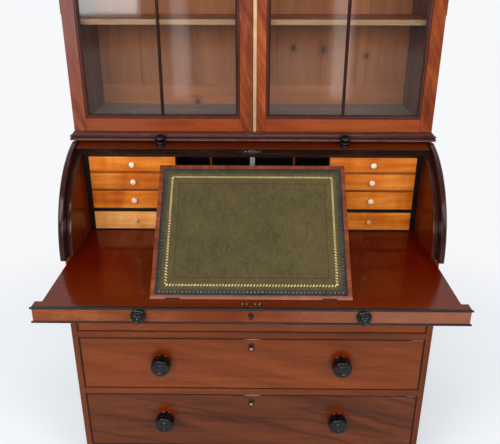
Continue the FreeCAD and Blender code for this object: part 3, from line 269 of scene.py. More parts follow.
# each wood changes what it needs of plainWood; shades run from dark to light along the stops
plainWood = {
    "stops": (0.25, 0.5, 0.8), "run": (2.6, 34, 34), "figure": (5.0, 16, 9), "slant": 52, "stripeShare": 0.45,
    "pores": (45, 620, 620), "poreDepth": 0.4, "drift": 4.0, "wander": 0.03, "tones": (0.86, 1.08),
    "rimShare": 0.35, "rimColour": (0.10, 0.026, 0.010), "rough": 0.32, "coat": 0.06, "coatRough": 0.08,
    "shine": 0.16, "relief": 0.0004}
blackGrain = {"run": (3.0, 40, 40), "slant": 25, "stripeShare": 0.3}
mouldingGrain = {**blackGrain, "rough": 0.2, "coat": 0.0, "relief": 0.0001}
polishedRim = {**blackGrain, "coat": 0.0, "relief": 0.00005}
boardGrain = {"run": (1.8, 22, 22), "figure": (1.2, 8, 5), "slant": 4}
pineGrain = {
    "stops": (0.24, 0.5, 0.8), "run": (1.4, 30, 30), "figure": (1.2, 22, 8), "slant": 2, "stripeShare": 0.5,
    "pores": (30, 420, 420), "poreDepth": 0.3, "drift": 3.0, "wander": 0.05, "rough": 0.5, "coat": 0.0,
    "shine": 0.15, "relief": 0.0005}
drawerGrain = {
    "run": (2.0, 70, 70), "figure": (0.8, 15, 6), "slant": 14, "stripeShare": 0.55, "drift": 2.2,
    "wander": 0.06, "poreDepth": 0.45, "tones": (0.95, 1.04), "rimShare": 0.6,
    "rimColour": (0.02, 0.007, 0.004), "marks": paintedKnobShade}
satinGrain = {
    "stops": (0.33, 0.5, 0.68), "run": (3.4, 44, 44), "figure": (16, 4, 4), "slant": 6, "stripeShare": 0.4,
    "pores": (60, 700, 700), "poreDepth": 0.18, "tones": (0.74, 1.14), "rimShare": 0.25, "relief": 0.0002}
agedPine = {
    **pineGrain, "shades": ((0.26, 0.075, 0.021), (0.46, 0.155, 0.050), (0.62, 0.26, 0.095)),
    "tones": (0.84, 1.08), "rimShare": 0.6, "rimColour": (0.05, 0.02, 0.01)}
woods = {
    "mahogany": {
        "stops": (0.28, 0.5, 0.74), "figure": (0.9, 12, 6), "slant": 5, "stripeShare": 0.5, "drift": 2.0,
        "wander": 0.06, "shades": ((0.078, 0.016, 0.004), (0.165, 0.036, 0.009), (0.265, 0.067, 0.018))},
    "doorMahogany": {
        "stops": (0.34, 0.48, 0.66), "figure": (6, 52, 20), "slant": 22, "stripeShare": 0.55,
        "shades": ((0.11, 0.016, 0.002), (0.28, 0.047, 0.007), (0.50, 0.125, 0.024)), "tones": (0.55, 1.12),
        "marks": paintedSheenStile},
    "doorRailMahogany": {
        "stops": (0.30, 0.48, 0.74), "run": (2.0, 30, 30), "figure": (2.4, 14, 9), "slant": 14,
        "shades": ((0.13, 0.020, 0.003), (0.28, 0.047, 0.007), (0.42, 0.100, 0.019)), "stripeShare": 0.4,
        "marks": paintedSheenRail},
    "railMahogany": {
        "stops": (0.34, 0.5, 0.68), "figure": (14, 6, 6), "slant": 6, "marks": deepRedAndPaintedSheenRail,
        "shades": ((0.095, 0.020, 0.006), (0.175, 0.042, 0.012), (0.28, 0.082, 0.025))},
    "drawerMahogany": {
        **drawerGrain, "stops": (0.32, 0.45, 0.72),
        "shades": ((0.12, 0.025, 0.005), (0.195, 0.043, 0.009), (0.27, 0.066, 0.014)),
        "veins": ((0.9, 9, 4), 0.03, 0.22, (0.07, 0.016, 0.005))},
    # the lowest drawer's shades are darker to paint the shade it stands in, the light falling off towards the
    # floor
    "lowDrawerMahogany": {
        **drawerGrain, "stops": (0.32, 0.46, 0.70),
        "shades": ((0.060, 0.016, 0.007), (0.120, 0.030, 0.010), (0.19, 0.050, 0.016)),
        "veins": ((0.9, 12, 4), 0.05, 0.62, (0.028, 0.009, 0.005))},
    "slideMahogany": {
        **boardGrain, "stops": (0.28, 0.5, 0.74), "stripeShare": 0.4, "drift": 2.0, "wander": 0.05,
        "shades": ((0.060, 0.0018, 0.0001), (0.110, 0.0044, 0.0002), (0.195, 0.017, 0.0006)),
        "poreDepth": 0.3, "tones": (0.92, 1.06), "rimColour": (0.04, 0.006, 0.002), "rough": 0.12,
        "shine": 0.15, "coat": 0.0, "relief": 0.0001, "marks": fadedFront},
    # the linings' shades are darkened to paint the shade they stand in
    "liningMahogany": {
        "shades": ((0.060, 0.004, 0.0003), (0.128, 0.012, 0.0007), (0.20, 0.026, 0.002)), "shine": 0.12,
        "coat": 0.0, "marks": shadedHead},
    "lidMahogany": {
        **boardGrain, "rough": 0.24,
        "shades": ((0.050, 0.006, 0.001), (0.098, 0.0125, 0.0016), (0.15, 0.026, 0.003))},
    "scuffedWood": {
        **blackGrain, "stops": (0.3, 0.52, 0.62, 0.74), "run": (7, 60, 60), "rough": 0.4,
        "shades": ((0.009, 0.003, 0.001), (0.024, 0.007, 0.003), (0.05, 0.019, 0.010), (0.17, 0.11, 0.08)),
        "rimShare": 0.5, "rimColour": (0.12, 0.06, 0.05)},
    "crossband": {
        "stops": (0.30, 0.5, 0.72), "run": (6, 90, 90), "figure": (9, 26, 26), "slant": 10,
        "shades": ((0.075, 0.014, 0.006), (0.20, 0.044, 0.018), (0.36, 0.10, 0.045)), "stripeShare": 0.5,
        "marks": paintedHighlightFoot},
    "waistMahogany": {
        **mouldingGrain, "shades": ((0.035, 0.007, 0.005), (0.080, 0.018, 0.012), (0.125, 0.032, 0.023))},
    # a painted highlight: the pale line where light catches the waist's lower bead along its foot
    "wornMahogany": {
        **mouldingGrain, "shades": ((0.12, 0.046, 0.041), (0.24, 0.104, 0.094), (0.36, 0.18, 0.165))},
    "rimMahogany": {
        **polishedRim, "rough": 0.1, "shine": 0.27,
        "shades": ((0.020, 0.005, 0.004), (0.044, 0.012, 0.009), (0.095, 0.031, 0.026))},
    "darkMahogany": {
        **polishedRim, "rimShare": 0.3, "rimColour": (0.10, 0.036, 0.028), "rough": 0.15, "shine": 0.24,
        "shades": ((0.010, 0.003, 0.003), (0.028, 0.007, 0.006), (0.060, 0.017, 0.013))},
    "beadMahogany": {
        **blackGrain, "rimShare": 0.2, "rough": 0.28, "rimColour": (0.05, 0.02, 0.014), "marks": wornEdges,
        "shades": ((0.010, 0.004, 0.003), (0.024, 0.008, 0.005), (0.055, 0.018, 0.011))},
    "blackenedWood": {
        **blackGrain, "stops": (0.3, 0.55, 0.8), "rimShare": 0.4, "rimColour": (0.05, 0.03, 0.026),
        "rough": 0.36, "shades": ((0.003, 0.0022, 0.002), (0.009, 0.005, 0.004), (0.022, 0.011, 0.008))},
    "ebonisedBead": {
        **blackGrain, "stops": (0.3, 0.55, 0.8), "rimShare": 0.2, "rimColour": (0.05, 0.04, 0.04),
        "rough": 0.25, "shine": 0.2,
        "shades": ((0.009, 0.006, 0.006), (0.020, 0.014, 0.014), (0.045, 0.034, 0.034))},
    "satinwood": {
        **satinGrain, "shades": ((0.40, 0.072, 0.004), (0.63, 0.165, 0.012), (0.90, 0.34, 0.055)),
        "rimColour": (0.30, 0.07, 0.01)},
    "paleSatinwood": {
        **satinGrain, "shades": ((0.54, 0.18, 0.035), (0.80, 0.34, 0.09), (0.95, 0.54, 0.21)),
        "rimColour": (0.36, 0.15, 0.05)},
    "boardEdge": {
        **satinGrain, "shades": ((0.17, 0.030, 0.002), (0.30, 0.062, 0.004), (0.42, 0.105, 0.010)),
        "rimColour": (0.12, 0.024, 0.003)},
    "agedPine": agedPine,
    "knottedPine": {**agedPine, "marks": knots, "rimShare": 0.3},
    "shelfPine": {
        **pineGrain, "shades": ((0.32, 0.17, 0.08), (0.50, 0.30, 0.16), (0.62, 0.42, 0.25)),
        "tones": (0.92, 1.04), "rimShare": 0.2, "rimColour": (0.3, 0.16, 0.08)},
    # grey as dust, with its shades raised and blued to paint in the whitish reflections on it
    "dustyFloor": {
        **pineGrain, "shades": ((0.20, 0.165, 0.145), (0.40, 0.355, 0.325), (0.56, 0.52, 0.49)),
        "rough": 0.6},
}
finishes = {name: wood(name, {**plainWood, **look}) for name, look in woods.items()}
print("woods mixed:", len(finishes))


# plain finishes: metals, bone, black polish; each changes what it needs of plainLook
plainRules = {"cloudNoise": (4.0, 0.6), "fineNoise": (2.0, 0.5), "cloudBand": (0.35, 0.65),
              "fineBand": (0.3, 0.7), "bump": 0.15}
plainLook = {"cloud": 180, "fine": 1200, "rough": 0.4, "spread": 0.1, "relief": 0.0001, "metal": 0.0,
             "shine": 0.5}


def plainFinish(name, look):
    material, tree, shader = newMaterial(name)
    place = objectPlace(tree)
    cloud = noise(tree, place, look["cloud"], *plainRules["cloudNoise"])
    fine = noise(tree, place, look["fine"], *plainRules["fineNoise"])
    colour = ramp(tree, cloud, list(zip(plainRules["cloudBand"], (look["dark"], look["light"]))))
    rough = between(tree, fine, *plainRules["fineBand"], look["rough"] - look["spread"],
                    look["rough"] + look["spread"])
    normal = bump(tree, fine, plainRules["bump"], look["relief"])
    settle(tree, shader, Base_Color=colour, Roughness=rough, Normal=normal, Metallic=look["metal"],
           Specular_IOR_Level=look["shine"])
    return material


boneLook = {"fine": 1500, "spread": 0.06, "shine": 0.4}
plainLooks = {
    # the faint blue in the black paints in the room reflected on the polished knob faces
    "ebonised": {
        "dark": (0.0009, 0.0012, 0.0018), "light": (0.003, 0.0036, 0.0046), "cloud": 60, "fine": 900,
        "rough": 0.08, "spread": 0.02, "relief": 0.00003, "shine": 0.4},
    "bone": {**boneLook, "dark": (0.84, 0.60, 0.42), "light": (0.97, 0.82, 0.64), "rough": 0.32},
    "tanBone": {**boneLook, "dark": (0.58, 0.32, 0.13), "light": (0.80, 0.54, 0.29), "rough": 0.34},
    "brass": {
        "dark": (0.42, 0.26, 0.14), "light": (0.55, 0.36, 0.20), "cloud": 30, "fine": 500, "rough": 0.45,
        "spread": 0.04, "relief": 0.00002, "metal": 0.55},
    "dullBrass": {
        "dark": (0.075, 0.028, 0.013), "light": (0.15, 0.065, 0.03), "cloud": 160, "fine": 1400, "rough": 0.5,
        "metal": 1.0},
    "beadBrass": {
        "dark": (0.009, 0.005, 0.004), "light": (0.028, 0.015, 0.010), "cloud": 200, "rough": 0.35,
        "metal": 0.2, "shine": 0.3},
    "steel": {
        "dark": (0.09, 0.085, 0.075), "light": (0.30, 0.28, 0.25), "cloud": 220, "rough": 0.42, "metal": 1.0},
    "greyPost": {"dark": (0.13, 0.165, 0.155), "light": (0.30, 0.35, 0.335), "cloud": 160, "shine": 0.4},
    "keyholeShade": {
        "dark": (0.002, 0.002, 0.002), "light": (0.006, 0.005, 0.004), "cloud": 300, "fine": 900,
        "rough": 0.7, "shine": 0.1},
    "screwHead": {
        "dark": (0.30, 0.25, 0.17), "light": (0.62, 0.55, 0.42), "cloud": 300, "rough": 0.35, "metal": 0.4},
    "giltLeaf": {
        "dark": (0.46, 0.29, 0.07), "light": (1.0, 0.89, 0.50), "cloud": 170, "fine": 2200, "spread": 0.12,
        "relief": 0.00005},
    # the pale blue-grey paints in the highlights caught by the pressed dots
    "blindStamp": {
        "dark": (0.045, 0.065, 0.072), "light": (0.20, 0.26, 0.285), "cloud": 120, "fine": 2200,
        "rough": 0.45, "shine": 0.4},
}
for name, look in plainLooks.items():
    finishes[name] = plainFinish(name, {**plainLook, **look})


def paneFinish(look):
    material, tree, shader = newMaterial("paneGlass")
    tree.nodes.remove(shader)
    clear = addNode(tree, "ShaderNodeBsdfTransparent", {"Color": (*look["tint"], 1)})
    ripple = noise(tree, stretch(tree, objectPlace(tree), look["ripple"]), 1.0, *look["rippleNoise"])
    normal = bump(tree, ripple, look["bump"], look["relief"])
    mirror = {"Color": (1, 1, 1, 1), "Roughness": look["rough"], "Normal": normal}
    gloss = addNode(tree, "ShaderNodeBsdfGlossy", mirror)
    edge = addNode(tree, "ShaderNodeFresnel", {"IOR": look["bend"], "Normal": normal})
    show(tree, edge.outputs[0], clear, gloss)
    return material


finishes["glass"] = paneFinish({
    "tint": (0.97, 0.975, 0.97), "ripple": (5, 5, 2.2), "rippleNoise": (2.0, 0.5), "bump": 0.2,
    "relief": 0.0012, "rough": 0.06, "bend": 1.45})


def cells(tree, vector, scale, feature):
    inputs = {"Vector": vector, "Scale": scale}
    return addNode(tree, "ShaderNodeTexVoronoi", inputs, feature=feature).outputs["Distance"]


def leatherFinish(look):
    material, tree, shader = newMaterial("greenLeather")
    place = objectPlace(tree)
    inset = attribute(tree, "inset")
    cloud = noise(tree, place, look["cloud"], *look["cloudNoise"])
    mottle = noise(tree, stretch(tree, place, look["drawn"]), look["mottle"], *look["mottleNoise"])
    level = sums(tree, "ADD", sums(tree, "MULTIPLY", cloud, 0.5), sums(tree, "MULTIPLY", mottle, 0.5))
    outer = between(tree, inset, *look["bandEnd"], 1.0, 0.0)
    colour = mixed(tree, outer, ramp(tree, level, look["field"]), ramp(tree, level, look["band"]))
    lineAt, lineFull, lineEnd = look["line"]
    pressed = between(tree, offFrom(tree, inset, lineAt), lineFull, lineEnd, look["lineShare"], 0.0)
    colour = mixed(tree, pressed, colour, look["lineColour"])
    cracks = cells(tree, place, look["cracks"], "DISTANCE_TO_EDGE")
    crazed = between(tree, cracks, 0.0, look["crackWidth"], look["crackShare"], 0.0)
    colour = mixed(tree, crazed, colour, look["lineColour"])
    pebble = cells(tree, place, look["pebble"], "F1")
    fine = noise(tree, place, look["fine"], *look["fineNoise"])
    height = sums(tree, "ADD", pebble, sums(tree, "MULTIPLY", fine, look["fineShare"]))
    normal = bump(tree, height, look["bump"], look["relief"])
    rough = between(tree, cloud, *look["roughBand"], *look["rough"])
    settle(tree, shader, Base_Color=colour, Roughness=rough, Normal=normal, Specular_IOR_Level=look["shine"])
    return material


finishes["leather"] = leatherFinish({
    "cloud": 6.0, "cloudNoise": (5.0, 0.62), "mottle": 60, "mottleNoise": (5.0, 0.7, 1.6),
    "drawn": (1.0, 0.5, 0.5), "cracks": 150, "crackWidth": 0.12, "crackShare": 0.3, "pebble": 900,
    "fine": 260, "fineNoise": (3.0, 0.6), "fineShare": 0.6, "bump": 0.35, "relief": 0.0003,
    "roughBand": (0.3, 0.7), "rough": (0.54, 0.40), "shine": 0.15,
    "field": [(0.34, (0.050, 0.041, 0.018)), (0.5, (0.088, 0.068, 0.023)), (0.66, (0.124, 0.098, 0.030))],
    "band": [(0.36, (0.012, 0.013, 0.013)), (0.52, (0.026, 0.027, 0.024)), (0.66, (0.055, 0.052, 0.036))],
    "bandEnd": (0.007, 0.019), "line": (0.0462, 0.0005, 0.0013), "lineShare": 0.75,
    "lineColour": (0.024, 0.020, 0.020)})
print("plain finishes mixed:", len(plainLooks) + 2)


# a stock of shapes that becomes one piece
def newStock():
    return {"points": [], "faces": [], "finish": [], "grain": [], "tone": [], "rim": []}


def addShape(stock, points, faces, finish, grain=None, tone=0.5, rims=None):
    start = len(stock["points"])
    stock["points"] += [tuple(point) for point in points]
    stock["faces"] += [[start + index for index in face] for face in faces]
    stock["finish"] += [finish] * len(faces) if isinstance(finish, str) else finish
    stock["grain"] += [tuple(place) for place in (grain or points)]
    stock["tone"] += [tone] * len(points)
    stock["rim"] += rims or [0.0] * len(faces)


# a piece rides its node's body; it replaces the node or is added to it
def makePiece(name, stock, node, added=False, smooth=40):
    mesh = bpy.data.meshes.new(name)
    mesh.from_pydata(stock["points"], [], stock["faces"])
    grain = mesh.attributes.new("grain", "FLOAT_VECTOR", "POINT")
    grain.data.foreach_set("vector", [value for place in stock["grain"] for value in place])
    mesh.attributes.new("tone", "FLOAT", "POINT").data.foreach_set("value", stock["tone"])
    mesh.attributes.new("rim", "FLOAT", "FACE").data.foreach_set("value", stock["rim"])
    used = sorted(set(stock["finish"]))
    mesh.polygons.foreach_set("material_index", [used.index(finish) for finish in stock["finish"]])
    for finish in used:
        mesh.materials.append(finishes[finish])
    work = bmesh.new()
    work.from_mesh(mesh)
    bmesh.ops.recalc_face_normals(work, faces=work.faces)
    work.to_mesh(mesh)
    work.free()
    mesh.polygons.foreach_set("use_smooth", [True] * len(mesh.polygons))
    mesh.set_sharp_from_angle(angle=math.radians(smooth))
    piece = bpy.data.objects.new(name, mesh)
    scene.collection.objects.link(piece)
    piece.modifiers.new("even", "WEIGHTED_NORMAL").keep_sharp = True
    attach(piece, bodyOf[node])
    if not added:
        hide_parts(node)
    return piece


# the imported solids, one at a time: a solid ends when each of its edges has met its twin
def solidsOf(node):
    mesh = nodes[node].data
    loose, faces, solids = {}, [], []
    for polygon in mesh.polygons:
        points = [tuple(round(value, 6) for value in mesh.vertices[index].co) for index in polygon.vertices]
        faces.append(points)
        for a, b in zip(points, points[1:] + points[:1]):
            if loose.get((b, a)):
                loose[(b, a)] -= 1
                if not loose[(b, a)]:
                    del loose[(b, a)]
            else:
                loose[(a, b)] = loose.get((a, b), 0) + 1
        if not loose:
            solids.append(faces)
            faces = []
    return solids + ([faces] if faces else [])


def boxOf(faces):
    points = [point for face in faces for point in face]
    low = Vector([min(point[axis] for point in points) for axis in range(3)])
    high = Vector([max(point[axis] for point in points) for axis in range(3)])
    return low, high


def boxFaces(low, high):
    (x0, y0, z0), (x1, y1, z1) = low, high
    a, b, c, d = (x0, y0, z0), (x1, y0, z0), (x1, y1, z0), (x0, y1, z0)
    e, f, g, h = (x0, y0, z1), (x1, y0, z1), (x1, y1, z1), (x0, y1, z1)
    return [[a, d, c, b], [e, f, g, h], [a, b, f, e], [b, c, g, f], [c, d, h, g], [d, a, e, h]]


softening = {"bevel": 0.0009, "shortest": 0.003, "flat": math.radians(0.5), "sharp": math.radians(35),
             "steps": 2}


# one board with its edges rounded over, grain along its length; pick may choose a finish face by face
def addBoard(stock, faces, finish, seeded, bevel=None, run=None, turn=None, pick=None, tone=None):
    board = bmesh.new()
    corners = {}
    for points in faces:
        for point in points:
            if point not in corners:
                corners[point] = board.verts.new(point)
        if len(set(points)) == len(points):
            board.faces.new([corners[point] for point in points])
    board.normal_update()
    bmesh.ops.dissolve_limit(board, angle_limit=softening["flat"], verts=board.verts, edges=board.edges)
    sharp = [edge for edge in board.edges
             if len(edge.link_faces) == 2 and edge.calc_length() > softening["shortest"]
             and edge.calc_face_angle(0) > softening["sharp"]]
    bevel = softening["bevel"] if bevel is None else bevel
    rims = set()
    if bevel and sharp:
        made = bmesh.ops.bevel(board, geom=sharp, offset=bevel, segments=softening["steps"], profile=0.5,
                               affect="EDGES", clamp_overlap=True)
        rims = set(made["faces"])
    bmesh.ops.triangulate(board, faces=[face for face in board.faces if len(face.verts) > 4])
    board.normal_update()
    board.verts.index_update()
    local = [turn @ vert.co if turn else vert.co for vert in board.verts]
    spans = [max(place[axis] for place in local) - min(place[axis] for place in local) for axis in range(3)]
    order = sorted(range(3), key=lambda axis: -spans[axis])
    if run is not None:
        order = [run] + [axis for axis in order if axis != run]
    shift = [seeded.uniform(-3, 3) for axis in range(3)]
    grain = [[place[order[axis]] + shift[axis] for axis in range(3)] for place in local]
    chosen = [pick(face.normal) or finish if pick else finish for face in board.faces]
    shown = [[vert.index for vert in face.verts] for face in board.faces]
    marked = [1.0 if face in rims else 0.0 for face in board.faces]
    tone = seeded.random() if tone is None else tone
    addShape(stock, [vert.co for vert in board.verts], shown, chosen, grain, tone, marked)
    board.free()


def seedFor(name):
    return random.Random(zlib.crc32(name.encode()))


# a node's own solids, board by board
def cutBoards(node, finish, bevel=None, runs=None, turn=None, parts=None, picks=None, solids=None,
              tones=None):
    stock, seeded = newStock(), seedFor(node)
    parts, runs, picks, tones = (given or {} for given in (parts, runs, picks, tones))
    for number, faces in enumerate(solids or solidsOf(node)):
        addBoard(stock, faces, parts.get(number, finish), seeded, bevel, runs.get(number), turn,
                 picks.get(number), tones.get(number))
    makePiece(node + "_boards", stock, node)


# a line through given points, rounded between them
def smoothLine(points, steps=3):
    line = []
    for number in range(len(points) - 1):
        before = Vector(points[max(number - 1, 0)])
        here, after = Vector(points[number]), Vector(points[number + 1])
        beyond = Vector(points[min(number + 2, len(points) - 1)])
        for step in range(steps):
            t = step / steps
            line.append(0.5 * (2 * here + (after - before) * t
                               + (2 * before - 5 * here + 4 * after - beyond) * t ** 2
                               + (3 * here - before - 3 * after + beyond) * t ** 3))
    return line + [Vector(points[-1])]


# faces of a body made of rings of points: both ends unless the rings close on themselves, then the bands
def ringFaces(rings, sides, closed=False):
    last = (rings - 1) * sides
    faces = [] if closed else [list(range(sides)), list(range(last, last + sides))]
    for ring in range(rings if closed else rings - 1):
        here, after = ring * sides, (ring + 1) % rings * sides
        for side in range(sides):
            ahead = (side + 1) % sides
            faces.append([here + side, here + ahead, after + ahead, after + side])
    return faces


# turned work: (radius, height) pairs about an axis, closed at both ends
def addTurning(stock, line, base, direction, finish, sides=48):
    turn = Vector(direction).to_track_quat("Z", "Y").to_matrix()
    line = [(radius, height) for radius, height in line if radius > 0.0001]
    points = []
    for radius, height in line:
        for side in range(sides):
            angle = 2 * math.pi * side / sides
            points.append(base + turn @ Vector((radius * math.cos(angle), radius * math.sin(angle), height)))
    addShape(stock, points, ringFaces(len(line), sides), finish)


# a moulding: (out, up) profile carried along mitred corners; closed runs join, open runs are capped
def addMoulding(stock, corners, up, profile, finish, closed):
    points = []
    for place, mitre in corners:
        points += [Vector(place) + Vector(mitre) * out + Vector(up) * height for out, height in profile]
    steps = [finish] * len(profile) if isinstance(finish, str) else finish
    chosen = steps * len(corners) if closed else steps[:1] * 2 + steps * (len(corners) - 1)
    faces = ringFaces(len(corners), len(profile), closed)
    away = Vector((1, 1, 1)) - Vector([abs(value) for value in up])
    grain = [(sum(point[axis] * away[axis] for axis in range(3)), point.dot(Vector(up)), point.x - point.y)
             for point in points]
    addShape(stock, points, faces, chosen, grain)


# finishes picked by the way a face looks
toFront, toTop, squarely = Vector((0, -1, 0)), Vector((0, 0, 1)), 0.7


def facing(finish, way, least):
    return lambda normal: finish if normal.dot(way) > least else None


def frontFaces(finish):
    return facing(finish, toFront, 0.5)


# cheeks: polished outside; inside, where the lid runs, painted dark as the shade of that channel; dark along the
# rim
def cheekFaces(outward):
    def pick(normal):
        if normal.x * outward > squarely:
            return "mahogany"
        return "darkMahogany" if normal.x * outward < -squarely else "rimMahogany"
    return pick


def liningFaces(normal):
    return "liningMahogany" if abs(normal.x) > squarely else "rimMahogany"


boardWork = {
    "bun_feet": {"finish": "darkMahogany", "bevel": 0.0, "runs": {number: 2 for number in range(4)}},
    "plinth": {"finish": "mahogany", "bevel": 0.0012},
    "carcass_side_right": {"finish": "mahogany", "runs": {0: 2, 1: 2, 2: 2}, "picks": {2: cheekFaces(1)}},
    "carcass_side_left": {"finish": "mahogany", "runs": {0: 2, 1: 2, 2: 2}, "picks": {2: cheekFaces(-1)}},
    "side_linings": {"finish": "liningMahogany", "bevel": 0.002, "runs": {0: 2, 1: 2},
                     "picks": {0: liningFaces, 1: liningFaces}},
    "quadrant_reeds": {"finish": "rimMahogany", "bevel": 0.0},
    "drawer_rails": {"finish": "mahogany"},
    "bureau_top": {"finish": "mahogany"},
    "cylinder_lid": {"finish": "lidMahogany", "runs": {0: 0, 1: 0},
                     "picks": {1: facing("scuffedWood", toFront, 0.6)}},
    "slide_board": {"finish": "slideMahogany", "bevel": 0.0005},
    "slide_front": {"finish": "railMahogany", "parts": {1: "ebonisedBead", 2: "ebonisedBead"},
                    "picks": {0: facing("slideMahogany", toTop, squarely)}},
    "fitment_case": {"finish": "blackenedWood", "bevel": 0.0005,
                     "picks": {3: facing("darkMahogany", toFront, squarely),
                               **{number: frontFaces("boardEdge") for number in (2, 8, 9)}}},
    "pigeonhole_dividers": {"finish": "mahogany", "bevel": 0.0005, "parts": {2: "greyPost"}},
    "bookcase_carcass": {"finish": "mahogany", "parts": {3: "dustyFloor"}},
    "bookcase_shelves": {"finish": "agedPine", "bevel": 0.0012,
                         "picks": {number: frontFaces("shelfPine") for number in range(3)}},
    "cornice": {"finish": "mahogany", "bevel": 0.0012},
    "slope_prop": {"finish": "mahogany", "bevel": 0.0006},
    "door_astragal": {"finish": "brass", "bevel": 0.0013},
}
for number in range(1, 4):
    # the lowest drawer takes the face darkened as painted shade
    face = "lowDrawerMahogany" if number > 2 else "drawerMahogany"
    boardWork[f"long_drawer_{number}"] = {
        "finish": "agedPine", "runs": {0: 0}, "bevel": 0.0011, "picks": {0: frontFaces(face)},
        "parts": {bead: "beadMahogany" for bead in range(1, 5)}}
smallTones = {"left": (0.92, 0.52, 0.92, 0.96), "right": (0.8, 0.66, 0.76, 1.0)}
for side, tones in smallTones.items():
    for number, tone in enumerate(tones, 1):
        face = "paleSatinwood" if number == 4 and side == "left" else "satinwood"
        boardWork[f"small_drawer_{side}_{number}"] = {
            "finish": "agedPine", "runs": {0: 0}, "parts": {0: face}, "bevel": 0.0005, "tones": {0: tone}}
for node, work in boardWork.items():
    cutBoards(node, **work)

# the black nosing turns over the slide's front edge, behind its bead
lip = {"deep": 0.0055, "proud": 0.0001}
railLow, railHigh = boxOf(solidsOf("slide_front")[0])
stock = newStock()
nosing = boxFaces((railLow.x, railLow.y, railHigh.z - lip["proud"]),
                  (railHigh.x, railLow.y + lip["deep"], railHigh.z + lip["proud"]))
addBoard(stock, nosing, "ebonisedBead", seedFor("slide_nosing"), 0.0)
makePiece("slide_nosing", stock, "slide_front", added=True)

# the bureau's back: one packed board, shown as the upright planks it is jointed from
backPlanks = {"count": 7, "joint": 0.0008, "bevel": 0.0012}
backLow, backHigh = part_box("carcass_back")
pitch = (backHigh[0] - backLow[0]) / backPlanks["count"]
planks = []
for number in range(backPlanks["count"]):
    start = backLow[0] + pitch * number
    stop = start + pitch - (backPlanks["joint"] if number < backPlanks["count"] - 1 else 0)
    planks.append(boxFaces((start, backLow[1], backLow[2]), (stop, backHigh[1], backHigh[2])))
cutBoards("carcass_back", "agedPine", backPlanks["bevel"], solids=planks)

# the bookcase's back: a rail across the foot, upright boards tongued together
backBoards = solidsOf("bookcase_back")
tongue = {"lap": 0.003, "share": 0.34}
uprights = sorted((boxOf(faces) for faces in backBoards[1:]), key=lambda ends: ends[0].x)
for (low, high), following in zip(uprights, uprights[1:]):
    depth = high.y - low.y
    inset = depth * (1 - tongue["share"]) / 2
    backBoards.append(boxFaces((high.x - tongue["lap"], low.y + inset, low.z + tongue["lap"]),
                               (following[0].x + tongue["lap"], high.y - inset, high.z - tongue["lap"])))
cutBoards("bookcase_back", "knottedPine", 0.0005, solids=backBoards, tones={0: 0.95})
print("boards cut:", len(boardWork) + 2)

# waist moulding: two beads with a black quirk between, its underside painted black as shade, the lower bead's
# foot painted pale as a highlight, and a rounded fillet on top
waistShape = {
    "line": [(0.0, 0.0), (0.80, 0.0), (0.86, 0.03), (0.92, 0.05), (0.98, 0.10), (1.0, 0.17), (0.99, 0.25),
             (0.94, 0.31), (0.86, 0.345), (0.82, 0.36), (0.80, 0.40), (0.82, 0.44), (0.90, 0.46),
             (0.96, 0.50), (0.97, 0.56), (0.93, 0.61), (0.84, 0.63), (0.50, 0.64), (0.48, 0.68),
             (0.44, 0.76), (0.36, 0.84), (0.25, 0.91), (0.19, 0.955), (0.17, 1.0), (0.0, 1.0)],
    # the first black span is the downward underside, painted black as shade; the pale span is a painted highlight
    "spans": {"blackenedWood": ((0, 1), (7, 12)), "wornMahogany": ((1, 5),)}}
waistLow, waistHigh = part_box("waist_moulding")
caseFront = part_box("bureau_top")[0][1]
reach, rise = caseFront - waistLow[1], waistHigh[2] - waistLow[2]
half = waistHigh[0] - reach
waistTurns = ((-half, waistHigh[1], (-1, 0, 0)), (-half, caseFront, (-1, -1, 0)),
              (half, caseFront, (1, -1, 0)), (half, waistHigh[1], (1, 0, 0)))
waistCorners = [((x, y, waistLow[2]), mitre) for x, y, mitre in waistTurns]
waistLine = [(out * reach, up * rise) for out, up in waistShape["line"]]
waistFinish = ["waistMahogany"] * len(waistLine)
for finish, spans in waistShape["spans"].items():
    for start, stop in spans:
        waistFinish[start:stop] = [finish] * (stop - start)
stock = newStock()
addMoulding(stock, waistCorners, (0, 0, 1), waistLine, waistFinish, False)
makePiece("waist_moulding_run", stock, "waist_moulding")

# doors: flat stiles and rails, a dark ovolo round the opening, its steps by the glass painted black as the shade
# line, a moulded glazing bar
doorShape = {
    "ovolo": 0.012, "bevel": 0.0008, "tones": {"outer": 0.33, "left": 0.36, "right": 0.74, "rail": 0.6},
    "ovoloLine": [(0.0, 0.0006), (0.0008, 0.0012), (0.0014, 0.0006), (0.0034, 0.0006), (0.0056, 0.0012),
                  (0.0074, 0.0024), (0.0086, 0.0040), (0.0092, 0.0058), (0.0104, 0.0062), (0.0116, 0.0070),
                  (0.012, 0.0085), (0.012, 0.0126), (0.0, 0.0126)],
    "shadeFrom": 6,
    "barLine": [(-0.5, 0.0095), (-0.5, 0.0062), (-0.44, 0.0040), (-0.34, 0.0024), (-0.2, 0.0014),
                (0.2, 0.0014), (0.34, 0.0024), (0.44, 0.0040), (0.5, 0.0062), (0.5, 0.0095),
                (0.5, 0.0126), (-0.5, 0.0126)]}
ovoloFinish = ["waistMahogany" if step < doorShape["shadeFrom"] else "beadMahogany"
               for step in range(len(doorShape["ovoloLine"]))]
trim, doorTones = doorShape["ovolo"], doorShape["tones"]
